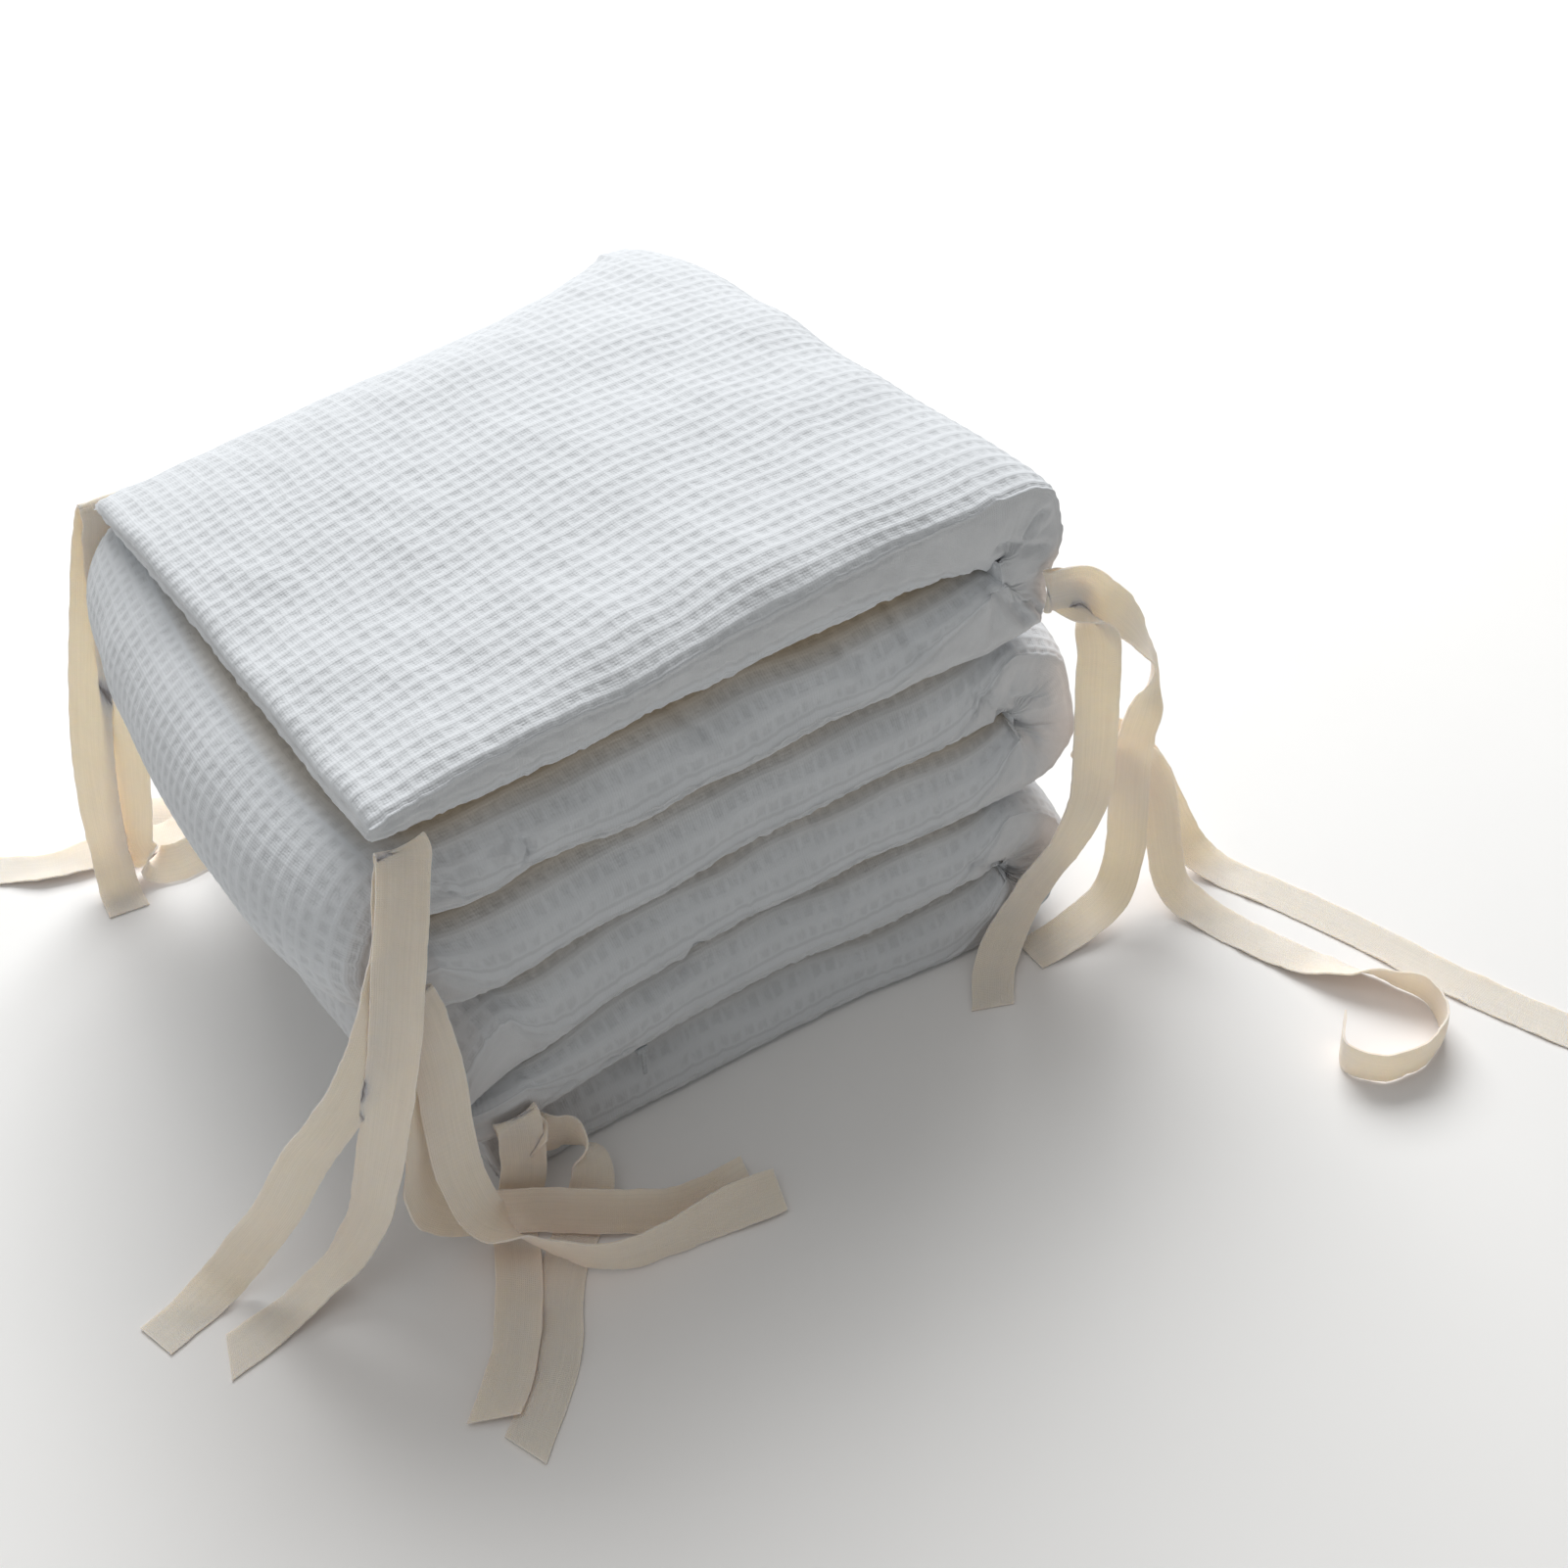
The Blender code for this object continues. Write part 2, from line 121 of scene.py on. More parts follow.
# Creases in the front faces: width and depth in millimetres, then places along X and Z.
CREASES = (
    (2.4, 2.4, (142, 239), (149, 237), (157, 233), (166, 229)),
    (2.6, 3.6, (130, 226), (139, 217), (150, 203), (156, 195)),
    (1.8, 2.6, (152, 204), (159, 202), (168, 190)),
    (1.8, 2.6, (156, 240), (162, 245), (166, 245)),
    (3.0, 1.6, (-27, 226), (-18, 214), (-9, 203)),
    (3.0, 1.6, (59, 218), (69, 203)),
    (3.2, 1.8, (88, 222), (96, 203)),
    (2.4, 1.6, (137, 152), (152, 146), (166, 141)),
    (2.4, 2.2, (128, 160), (150, 134), (160, 122)),
    (3.6, 1.5, (-38, 74), (-31, 92)),
    (3.4, 1.2, (-62, 62), (-56, 84)),
    (3.4, 1.0, (-14, 62), (-10, 86)),
    (3.4, 1.0, (44, 64), (52, 84)),
    (3.4, 0.9, (-92, 152), (-84, 170)),
    (3.4, 0.9, (30, 108), (42, 126)),
    (2.4, 2.0, (120, 62), (140, 46), (152, 34)),
    (1.1, 1.4, (-149, 199), (-130, 202), (-112, 202)),
    (1.1, 1.2, (-153, 193), (-136, 196), (-118, 196)),
    (2.6, -2.4, (-111, 200), (-107, 196), (-108, 193)),
    (1.4, 2.4, (-104, 203), (-101, 197), (-104, 191)),
    (1.1, 1.2, (-125, 56), (-96, 55), (-73, 53)),
)

# One table a tie: its middle line in millimetres, then bearing and rise, in degrees, of
# a line across the tape.
TIES = {
    "tie_top_front": (
        (-286, -153, 0.9, -80, 0), (-267, -151, 1.6, -82, 2),
        (-247, -149, 5.4, -82, 10), (-228, -150, 17, -76, 14),
        (-213, -155, 40, -64, 14), (-203, -162, 76, -50, 10),
        (-193, -169, 120, -38, 4), (-183, -171, 156, -28, 4),
        (-173, -169, 192, -18, 6), (-163, -163, 218, -8, 4),
        (-157, -157.2, 231.6, -2, 0), (-155, -154.4, 235, 0, 0),
        (-155, -153.2, 235.8, 0, 0), (-155, -151.8, 235, 0, 0),
        (-157, -153.6, 229, -2, 0), (-161, -156.2, 220, -2, 0),
        (-167, -161.6, 203, -6, -2), (-178, -164.8, 180, -10, -6),
        (-191, -164.2, 151, -16, -14), (-208, -159.5, 122, -22, -24),
        (-228, -149, 90, -34, -32), (-243, -138, 56, -46, -28),
        (-258, -125, 26, -54, -20), (-275, -120, 7, -54, -10),
        (-294, -123, 1.6, -50, -3), (-309, -126, 0.9, -46, 0),
    ),
    "tie_fold_front": (
        (-45, -229, 4.4, 100, 18), (-71, -227, 9.8, 108, 50),
        (-99, -225, 11.4, 130, 74), (-123, -220, 12.2, 150, 78),
        (-142, -206, 14, 152, 66), (-156, -188, 16, 156, 52),
        (-166, -176, 27, 164, 34), (-170, -170, 50, 168, 16),
        (-170, -168.4, 86, 166, 8), (-168, -168, 118, 170, 4),
        (-168, -166.4, 146, 176, 0), (-169, -163.85, 162, 180, 0),
        (-170, -162.45, 166.6, 180, 0), (-170, -161.05, 167.4, 180, 0),
        (-170, -159.85, 166.6, 180, 0), (-170.6, -160.25, 158, 182, 0),
        (-172, -161.05, 145, 184, -2), (-175, -162, 116, 190, -8),
        (-181, -162.6, 84, 200, -22), (-187, -161, 56, 210, -36),
        (-184, -160.4, 32, 214, -52), (-174, -161, 19, 220, -58),
        (-159, -166.6, 13.6, 222, -56), (-142, -177, 12.8, 216, -52),
        (-127, -189, 12.6, 208, -50), (-111, -201, 12, 206, -50),
        (-92, -212, 9.6, 222, -44), (-71, -215, 6.4, 236, -30),
        (-52, -214, 3.6, 248, -14),
    ),
    "tie_bottom_front": (
        (-207, -249, 3.4, -42, 4), (-195, -239, 4.4, -36, -4),
        (-182, -224, 4.0, -32, 2), (-170.5, -206, 3.6, -30, -2),
        (-161, -188.5, 2.6, -28, 0), (-154, -173, 1.8, -27, 0),
        (-147, -164, 5, -26, 0), (-142, -162.4, 16, -20, 0),
        (-139, -161.75, 28, -14, 0), (-137.6, -161.55, 42, -8, 0),
        (-137, -161.35, 54, -2, 0), (-137, -160.75, 58.4, 0, 0),
        (-137, -159.35, 59.6, 0, 0), (-136.8, -157.95, 58.4, 0, 0),
        (-136, -157.55, 50, 0, -8), (-131, -156.75, 40, -8, -40),
        (-122, -158, 33, -26, -68), (-114, -160.6, 29, -44, -76),
        (-110, -168, 23, -50, -64), (-113, -176, 14, -50, -44),
        (-121, -183, 5, -50, -18), (-131, -190, 1, -48, 0),
        (-144, -201, 0.9, -44, 0), (-157, -218, 0.9, -36, 0),
        (-169, -237, 0.9, -38, 0), (-186, -254, 0.9, -42, 0),
        (-203, -268, 0.9, -44, 0),
    ),
    "tie_top_back": (
        (-222, 132, 0.9, -6, 0), (-221, 146, 3, -12, 2),
        (-218, 157, 14, -28, 4), (-213, 162, 48, -30, 2),
        (-206, 163, 84, -24, -2), (-194, 163, 128, -20, -2),
        (-180, 162, 172, -14, -2), (-169, 163.4, 203, -8, 0),
        (-161, 164.0, 222, 0, 0), (-160, 162.9, 225.4, 0, 0),
        (-160, 161.5, 226.6, 0, 0), (-160, 160.1, 225.4, 0, 0),
        (-161, 160.0, 217, 0, 0), (-165, 159.6, 203, -4, 0),
        (-173, 157.1, 165, -12, -2), (-181, 158.4, 122, -18, -2),
        (-189, 159.4, 81, -26, -2), (-197, 159, 44, -38, -6),
        (-202, 156.6, 18, -52, -16), (-199, 149, 10.4, -70, -32),
        (-188, 143.4, 8.8, -88, -44), (-173, 143.6, 8.8, -100, -46),
    ),
    "tie_bottom_back": (
        (-280, 214, 0.9, -120, 0), (-264, 203, 1.6, -122, 2),
        (-247, 190, 3.8, -120, 4), (-226, 182.6, 6.4, -112, -8),
        (-206, 176, 6, -108, -8), (-189, 170.4, 6.6, -104, -4),
        (-174, 167, 9, -108, 0), (-160, 164, 14, -124, 4),
        (-150, 161.4, 22, -148, 6), (-144, 159.6, 31, -170, 2),
        (-141, 158.4, 38, -180, 0), (-140, 157.4, 40.4, -180, 0),
        (-139.6, 156, 40.6, -180, 0), (-139.4, 154.8, 38.6, -180, 0),
        (-139, 154.4, 28, -180, 0), (-140, 155.6, 14, -172, 0),
        (-144, 161, 4.8, -156, 0), (-153, 170, 1.4, -136, 0),
        (-165, 180, 2.4, -130, -8), (-178, 190, 4.4, -126, -20),
        (-192, 199, 3, -122, -8), (-208, 207, 0.9, -118, 0),
    ),
    "tie_upper_right": (
        (105, -203, 0.9, -22, 0), (120, -186, 5, -22, 2),
        (138, -177, 17, -20, -8), (154, -177, 38, -18, -20),
        (167, -183, 62, -20, -16), (176, -186, 88, -28, -4),
        (179, -184, 121, -33, 0), (182, -179, 154, -40, -2),
        (186, -172, 179, -60, -20), (183, -166, 194, -90, -48),
        (176, -160.35, 203, -110, -72), (167.6, -157.35, 206.8, -120, -84),
        (165.4, -157.75, 207.4, -124, -86), (164.6, -158.55, 207.8, -128, -86),
        (165.4, -159.55, 208, -134, -86), (168, -160.55, 208.2, -144, -84),
        (181, -163.95, 206, -160, -76), (190, -167.5, 197, -158, -60),
        (201, -171, 185.5, -152, -36), (212, -174.5, 170, -146, 4),
        (220, -177, 152, -140, 24), (220, -178, 138, -156, 18),
        (214, -181, 125, -190, 6), (209, -182, 110, -202, 5),
        (208, -182, 85, -206, 6), (210, -182, 56, -212, 10),
        (207, -185, 30, -230, 18), (195, -190, 14, -252, 22),
        (175, -191, 7.5, -264, 16), (157, -190, 3.6, -272, 8),
        (142, -188, 1.2, -280, 2),
    ),
    "tie_lower_right": (
        (226, -322, 11.4, -172, 84), (213, -335, 11.4, -172, 84),
        (222, -351, 11.4, -172, 84), (244, -357, 11.4, -172, 84),
        (267, -350, 11.4, -172, 84), (276, -332, 11.4, -172, 80),
        (268, -312, 10.6, -172, 60), (258, -296, 6.6, -172, 30),
        (249, -276, 2.2, -172, 6), (240, -248, 1, -172, 0),
        (233, -222, 2.4, -174, -4), (228, -204, 10, -178, -8),
        (230, -192, 27, -184, -10), (233, -182, 50, -194, -12),
        (229, -175, 71, -204, -20), (215, -171, 90, -212, -36),
        (200, -170.4, 102, -214, -60), (189, -168.65, 108.6, -214, -80),
        (186.6, -168.05, 109.6, -214, -84), (185.6, -167.05, 110, -214, -86),
        (186.6, -166.05, 110.4, -214, -86), (189, -165.45, 111, -214, -84),
        (200, -164.05, 107, -214, -70), (216, -163, 94, -208, -46),
        (238, -166, 62, -198, -26), (250, -175, 30, -190, -14),
        (256, -188, 10, -180, -6), (262, -204, 2.4, -170, -2),
        (272, -230, 1, -166, 0), (287, -279, 0.9, -168, 0),
        (300, -332, 0.9, -169, 0), (314, -374, 0.9, -168, 0),
        (326, -406, 0.9, -166, 0),
    ),
}

# How far one edge of each tail's end is cut longer than the other, in millimetres.
END_SLANTS = {
    "tie_top_front": (9, -2),
    "tie_fold_front": (3, -4),
    "tie_bottom_front": (-9, 7),
    "tie_top_back": (2, 5),
    "tie_bottom_back": (-3, 2),
    "tie_upper_right": (-6, 2),
    "tie_lower_right": (4, 0),
}

# Quads across a tape, and the lengths in metres over which its ripples die out and its
# slanted cut is made good, both from its end.
TAPE_COLUMNS = 8
TAPE_END_FLAT = 0.03
TAPE_CUT = 0.02

# Nothing dressed comes nearer to the floor than this, in millimetres.
FLOOR_GAP = 0.3

# Where mesh lines cross one cell of the waffle: its ridge, foot, pit and foot.
FINE_CELL = (0.0, 0.16, 0.5, 0.84)
COARSE_CELL = (0.0, 0.3, 0.7)
# Mesh lines over the gusset's height, as shares of it.
GUSSET_LINES = np.arange(21) / 20
# Mesh lines on a panel beside its seam, and at the free end of the top layer: distance
# from the edge in millimetres.
SEAM_LINES = (0, 1.1, 2.3, 3.6)
END_LINES = (0, 0.7)
# Out of sight, a block of this many quads each way is one face. Its four sides: first
# point, step from one point to the next, and the neighbouring quad.
BLOCK = 4
BLOCK_SIDES = (
    ((0, 0), (1, 0), (0, -1)),
    ((BLOCK, 0), (0, 1), (BLOCK, 0)),
    ((BLOCK, BLOCK), (-1, 0), (BLOCK - 1, BLOCK)),
    ((0, BLOCK), (0, -1), (-1, BLOCK - 1)),
)

# The weave starts this far from a panel's edge, and is full from the second value on.
WEAVE_EDGE = (3.2, 5.6)
# How wide a panel's edge is rounded at the strip's free ends, in millimetres.
END_ROUND = 4.0

# The photo's camera: azimuth, elevation and roll in degrees, and its place in metres.
CAMERA_ANGLES = (-33.37, 43.16, 3.12)
CAMERA_PLACE = (-0.3093, -0.652, 0.7278)
# One row a light, by the name of its power: its place, what it faces, and its size.
LIGHTS = {
    "window_power": ((1.0, 1.75, 2.2), (0, 0, 0.1), (2.4, 2.0)),
    "side_power": ((-1.9, -0.3, 0.34), (0, 0, 0.06), (1.6, 0.4)),
    "top_power": ((-0.5, -0.1, 2.3), (-0.1, -0.1, 0), (2.0, 2.0)),
}


def linear(channel):
    return channel / 12.92 if channel <= 0.04045 else ((channel + 0.055) / 1.055) ** 2.4


def colour(code):
    """Linear colour from an sRGB hex code."""
    return tuple(linear(int(code[i : i + 2], 16) / 255) for i in (1, 3, 5))


class BumperPadSettings(bpy.types.PropertyGroup):
    strip_width: FloatProperty(
        name="Strip width", description="Across the strip", default=0.3, unit="LENGTH"
    )
    thickness: FloatProperty(
        name="Thickness", description="Filled strip away from its edges",
        default=0.0446, unit="LENGTH",
    )
    layer_gap: FloatProperty(
        name="Layer gap", description="Between one layer and the next",
        default=0.0016, unit="LENGTH",
    )
    side_roll: FloatProperty(
        name="Side roll", description="Width over which a panel rolls down to its seam",
        default=0.036, unit="LENGTH",
    )
    fold_depth: FloatProperty(
        name="Fold depth", description="Least radius of a fold's middle surface",
        default=0.023, unit="LENGTH",
    )
    gusset_fill: FloatProperty(
        name="Gusset fill", description="Thickness at the seams that the weave is laid out for",
        default=0.45, min=0.1, max=1, subtype="FACTOR",
    )
    fold_fill: FloatProperty(
        name="Fold fill", description="How far the folds are squeezed",
        default=0.95, min=0.1, max=1, subtype="FACTOR",
    )
    cell: FloatProperty(
        name="Waffle cell", description="Pitch of the waffle weave",
        default=0.0074, unit="LENGTH",
    )
    cell_depth: FloatProperty(
        name="Waffle depth", description="Depth of a pit below the ridges",
        default=0.00072, unit="LENGTH",
    )
    panel_colour: FloatVectorProperty(
        name="Panel colour", description="Waffle cotton", subtype="COLOR", size=3,
        default=colour("#D9DDE1"), min=0, max=1,
    )
    gusset_colour: FloatVectorProperty(
        name="Gusset colour", description="Plain cotton", subtype="COLOR", size=3,
        default=colour("#D7DADD"), min=0, max=1,
    )


class BumperTapeSettings(bpy.types.PropertyGroup):
    width: FloatProperty(
        name="Tape width", description="Of every tie", default=0.021, unit="LENGTH"
    )
    thickness: FloatProperty(
        name="Tape thickness", description="Of every tie", default=0.001, unit="LENGTH"
    )
    cup: FloatProperty(
        name="Cupping", description="How far the tape's middle stands off its edges",
        default=0.0006, unit="LENGTH",
    )
    ripple: FloatProperty(
        name="Edge ripple", description="How far the tape's edges wander",
        default=0.0007, unit="LENGTH",
    )
    steps: IntProperty(
        name="Steps", description="Between one row of a tie's table and the next",
        default=8, min=2, max=20,
    )
    tape_colour: FloatVectorProperty(
        name="Tape colour", description="Unbleached cotton", subtype="COLOR", size=3,
        default=colour("#FCE8D8"), min=0, max=1,
    )


class BumperZipSettings(bpy.types.PropertyGroup):
    metal_colour: FloatVectorProperty(
        name="Zip colour", description="Coated zinc", subtype="COLOR", size=3,
        default=colour("#B9BEC2"), min=0, max=1,
    )


class BumperStageSettings(bpy.types.PropertyGroup):
    floor_colour: FloatVectorProperty(
        name="Floor colour", description="Plain pale floor", subtype="COLOR", size=3,
        default=colour("#F4F4F3"), min=0, max=1,
    )
    window_power: FloatProperty(
        name="Window", description="Power of the large light behind", default=103, unit="POWER"
    )
    side_power: FloatProperty(
        name="Side light", description="Power of the light at the left", default=2.1, unit="POWER"
    )
    top_power: FloatProperty(
        name="Top light", description="Power of the soft light above", default=7, unit="POWER"
    )
    sky: FloatProperty(
        name="Sky", description="Strength of the even light", default=0.255, min=0
    )
    focal_length: FloatProperty(
        name="Focal length", description="Of the camera, in millimetres", default=42.72
    )


def wander(seed, *places, waves=9):
    """Smooth noise near -1 to 1 from places given in wavelengths, one value a place."""
    source = np.random.default_rng(seed)
    total = np.zeros(np.broadcast(*places).shape)
    for _ in range(waves):
        turns = source.normal(size=len(places)) * 1.5
        wave = sum(turn * place for turn, place in zip(turns, places))
        total += np.sin(2 * math.pi * wave + source.uniform(0, 2 * math.pi))
    return total / math.sqrt(waves) / 1.2


def curve_through(at, stations, values):
    """Cubic curve through values given at stations, read at `at`."""
    at = np.asarray(at, float)
    stations = np.asarray(stations, float)
    values = np.asarray(values, float)
    slopes = np.gradient(values, stations, axis=0)
    i = np.clip(np.searchsorted(stations, at) - 1, 0, len(stations) - 2)
    span = stations[i + 1] - stations[i]
    t = np.clip((at - stations[i]) / span, 0, 1)
    if values.ndim > 1:
        span = span[..., None]
        t = t[..., None]
    start = values[i] * (2 * t**3 - 3 * t**2 + 1) + slopes[i] * span * (t**3 - 2 * t**2 + t)
    end = values[i + 1] * (3 * t**2 - 2 * t**3) + slopes[i + 1] * span * (t**3 - t**2)
    return start + end


def layer(index):
    return dict(zip(LAYER_COLUMNS, LAYERS[index]))


def unit(vectors):
    return vectors / np.maximum(np.linalg.norm(vectors, axis=-1, keepdims=True), 1e-12)


class StripForm:
    """The middle surface and thickness of the folded strip, from its named sizes."""

    def __init__(self, sizes):
        self.sizes = sizes
        self.half = sizes.strip_width / 2
        self.pitch = sizes.thickness + sizes.layer_gap
        self.last = len(LAYERS) - 1

    def reach(self, index, across):
        return curve_through(across / MM, FOLD_STATIONS, FOLDS[index]) * MM

    def recess(self, index, across):
        if index < 0 or index >= self.last:
            return np.zeros_like(across)
        return np.maximum(0, self.sizes.fold_depth - self.reach(index, across))

    def ends(self, index, across):
        row = layer(index)
        above = self.recess(index - 1, across)
        below = self.recess(index, across)
        if index % 2 == 0:
            return row["left"] * MM + above, row["right"] * MM - below
        return row["left"] * MM + below, row["right"] * MM - above

    def end_fill(self, index, along):
        if 0 < index < self.last:
            return np.ones_like(along)
        thin, length = FIRST_END if index == 0 else LAST_END
        ease = np.sin(math.pi / 2 * np.clip(along / length, 0, 1))
        return thin + (1 - thin) * ease

    def run_point(self, index, share, across):
        row = layer(index)
        left, right = self.ends(index, across)
        x = left + (right - left) * share
        fill = self.end_fill(index, x - left)
        underside = (self.last - index) * self.pitch
        droop = row["droop"] * MM * np.abs(across / self.half) ** 2.5
        shifts = (row["shift_left"], row["shift_middle"], row["shift_right"])
        shift = curve_through(share, (0, 0.5, 1), shifts) * MM
        forward = np.maximum(0, -across / self.half)
        lift = row["lift"] * MM * max(0.0, 1 - share / 0.5) ** 2 * forward**2
        height = underside + fill * self.sizes.thickness / 2 - droop + lift
        return np.stack((x, across + shift, height), axis=-1)

    def fold_point(self, index, turn, across):
        side = 1 if index % 2 == 0 else -1
        share = 1 if side > 0 else 0
        upper = self.run_point(index, share, across)
        lower = self.run_point(index + 1, share, across)
        reach = np.maximum(self.sizes.fold_depth, self.reach(index, across))
        angle = math.pi * turn
        power = 1 - FOLD_SEAMS[index][2]
        rise = math.copysign(abs(math.cos(angle)) ** power, math.cos(angle))
        point = (upper + lower) / 2 + (upper - lower) / 2 * rise
        point[:, 0] += side * reach * max(0.0, math.sin(angle)) ** power
        return point

    def point(self, station, across):
        index, kind, share = station
        found = self.run_point if kind == "run" else self.fold_point
        return found(index, share, across)

    def edge_fill(self, station, seam, column):
        """Share of half the thickness at a seam: `seam` on a run, its own at a fold."""
        index, kind, share = station
        if kind == "fold":
            return FOLD_SEAMS[index][column]
        nearest = min(share, 1 - share)
        at_right = share > 0.5
        fold = index if at_right == (index % 2 == 0) else index - 1
        if not 0 <= fold < self.last:
            return seam
        ease = max(0.0, 1 - nearest / (0.3 if fold == 0 else 0.12)) ** 2
        return seam + (FOLD_SEAMS[fold][column] - seam) * ease

    def fills(self, station, across):
        """Shares of half the thickness on the first and the second panel's side."""
        index, kind, share = station
        sizes = self.sizes
        upper, lower = FRONT_SEAMS[index]
        back_upper, back_lower, back_roll = BACK_SEAMS[index]
        fronts = (upper, -lower) if index % 2 == 0 else (-lower, upper)
        backs = (back_upper, -back_lower) if index % 2 == 0 else (-back_lower, back_upper)
        shares = []
        for panel, (front, back) in enumerate(zip(fronts, backs)):
            facing_up = (panel == 0) == (index % 2 == 0)
            wide = back_roll * MM if facing_up else sizes.side_roll
            if kind == "fold":
                wide = sizes.side_roll
            elif index == 0:
                wide += (sizes.side_roll - wide) * ramp(share, 0.6, 1.0)
            rolls = np.where(across < 0, sizes.side_roll, wide)
            inward = (np.abs(across) - (self.half - rolls)) / rolls
            roll = np.sqrt(np.maximum(0, 1 - np.clip(inward, 0, 1) ** 2))
            front_edge = self.edge_fill(station, front, 0)
            back_edge = self.edge_fill(station, back, 1)
            at_edge = np.where(across < 0, front_edge, back_edge)
            shares.append(at_edge + (1 - at_edge) * roll)
        if kind == "fold":
            return [each * sizes.fold_fill for each in shares]
        left, right = self.ends(index, across)
        ends = self.end_fill(index, share * (right - left))
        return [each * ends for each in shares]


def panel_columns(form):
    """Distances across the strip where mesh lines run, and their lengths over a panel."""
    sizes = form.sizes
    lean = np.linspace(0, math.pi / 2, 1500)
    across = form.half - sizes.side_roll + sizes.side_roll * np.sin(lean)
    across = np.concatenate(((0,), across))
    drop = np.concatenate(((1,), np.cos(lean))) * (1 - sizes.gusset_fill)
    drop *= sizes.thickness / 2
    lengths = np.concatenate(((0,), np.cumsum(np.hypot(np.diff(across), np.diff(drop)))))
    whole = lengths[-1]
    inner = whole - (max(SEAM_LINES) + 0.8) * MM
    count = int(inner / sizes.cell) + 1
    found = [(k + share) * sizes.cell for k in range(count) for share in FINE_CELL]
    found = [each for each in found if each < inner]
    found += [whole - each * MM for each in reversed(SEAM_LINES)]
    found = np.array([-each for each in reversed(found[1:])] + found)
    return np.sign(found) * np.interp(np.abs(found), lengths, across), found, whole


def dense_line(form):
    """Close stations along the whole strip, and their lengths on each panel."""
    middle = np.zeros(1)
    dense = []
    for index in range(form.last + 1):
        for share in np.linspace(0, 1, 160):
            dense.append((index, "run", share if index % 2 == 0 else 1 - share))
        if index < form.last:
            for turn in np.linspace(0, 1, 70)[1:-1]:
                dense.append((index, "fold", turn))
    points = np.array([form.point(each, middle)[0] for each in dense])
    ahead = unit(np.gradient(points, axis=0))
    normal = np.stack((-ahead[:, 2], np.zeros(len(points)), ahead[:, 0]), axis=-1)
    half = np.array([form.fills(each, middle)[0][0] for each in dense])
    half *= form.sizes.thickness / 2
    lengths = []
    for side in (1, -1):
        panel = points + normal * half[:, None] * side
        legs = np.linalg.norm(np.diff(panel, axis=0), axis=1)
        lengths.append(np.concatenate(((0,), np.cumsum(legs))))
    return dense, np.array(lengths)


def cell_places(form, index, kind, along):
    """Lengths at which mesh lines cross one run or fold, from its dense lengths."""
    cell = form.sizes.cell
    lines = FINE_CELL if kind == "fold" or index == 0 else COARSE_CELL
    first = int(along[0] / cell) - 1
    last = int(along[-1] / cell) + 2
    places = [(k + part) * cell for k in range(first, last) for part in lines]
    if index == 0 and kind == "run":
        places = [each for each in places if each > (max(END_LINES) + 0.5) * MM]
        places = [each * MM for each in END_LINES] + places
    if index == form.last:
        inner = along[-1] - (max(SEAM_LINES) + 0.8) * MM
        places = [each for each in places if each < inner]
        places += [along[-1] - each * MM for each in reversed(SEAM_LINES)]
    return [each for each in places if along[0] - 1e-9 <= each <= along[-1] + 1e-9]


def strip_stations(form):
    """Each mesh line along the strip: (layer, kind, share) and its length on each panel."""
    dense, lengths = dense_line(form)
    stations = []
    panels = []
    start = 0
    while start < len(dense):
        index, kind, _ = dense[start]
        stop = start
        while stop < len(dense) and dense[stop][:2] == (index, kind):
            stop += 1
        along = lengths[index % 2, start:stop]
        shares = np.array([each[2] for each in dense[start:stop]])
        for place in cell_places(form, index, kind, along):
            stations.append((index, kind, float(np.interp(place, along, shares))))
            where = np.interp(place, along, np.arange(start, stop))
            panels.append([np.interp(where, np.arange(len(dense)), each) for each in lengths])
        start = stop
    panels = np.array(panels)
    gaps = np.diff(panels, axis=0).max(axis=1)
    keep = np.concatenate(((True,), gaps > 0.5 * MM))
    keep[-1] = True
    stations = [each for each, kept in zip(stations, keep) if kept]
    return stations, panels[keep]


def off_ridge(place, cell):
    """0 on a ridge of the waffle, 1 half way to the next."""
    return 2 * np.abs(place / cell - np.round(place / cell))


def ramp(value, low, high):
    t = np.clip((value - low) / (high - low), 0, 1)
    return t * t * (3 - 2 * t)


def seam_relief(distance):
    """Roll and stitched groove of a panel beside its seam."""
    away = distance / MM
    roll = 0.5 * np.exp(-(((away - 1.1) / 0.8) ** 2))
    return (roll - 0.8 * np.exp(-(((away - 3.0) / 0.9) ** 2))) * MM


def plain_edge(seam, free):
    """Distance from the edge of the weave, which runs almost up to the free ends."""
    return np.minimum(seam[None, :] * 1.7, free[:, None] * 3.5 + 4.2 * MM)


def surface_normals(points, side):
    along = np.gradient(points, axis=0)
    across = np.gradient(points, axis=1)
    return unit(np.cross(along, across)) * side


def crease_depth(x, z):
    """How deep creases pull the front faces in at places in millimetres."""
    depth = np.zeros(x.shape)
    for width, deep, *line in CREASES:
        nearest = np.full(x.shape, 1e9)
        for (x0, z0), (x1, z1) in zip(line[:-1], line[1:]):
            length = math.hypot(x1 - x0, z1 - z0)
            t = ((x - x0) * (x1 - x0) + (z - z0) * (z1 - z0)) / length**2
            t = np.clip(t, 0, 1)
            gap = np.hypot(x - x0 - t * (x1 - x0), z - z0 - t * (z1 - z0))
            nearest = np.minimum(nearest, gap)
        depth += deep * np.exp(-((nearest / width) ** 2))
        depth -= 0.3 * deep * np.exp(-(((nearest / width - 2.2) / 1.1) ** 2))
    return depth


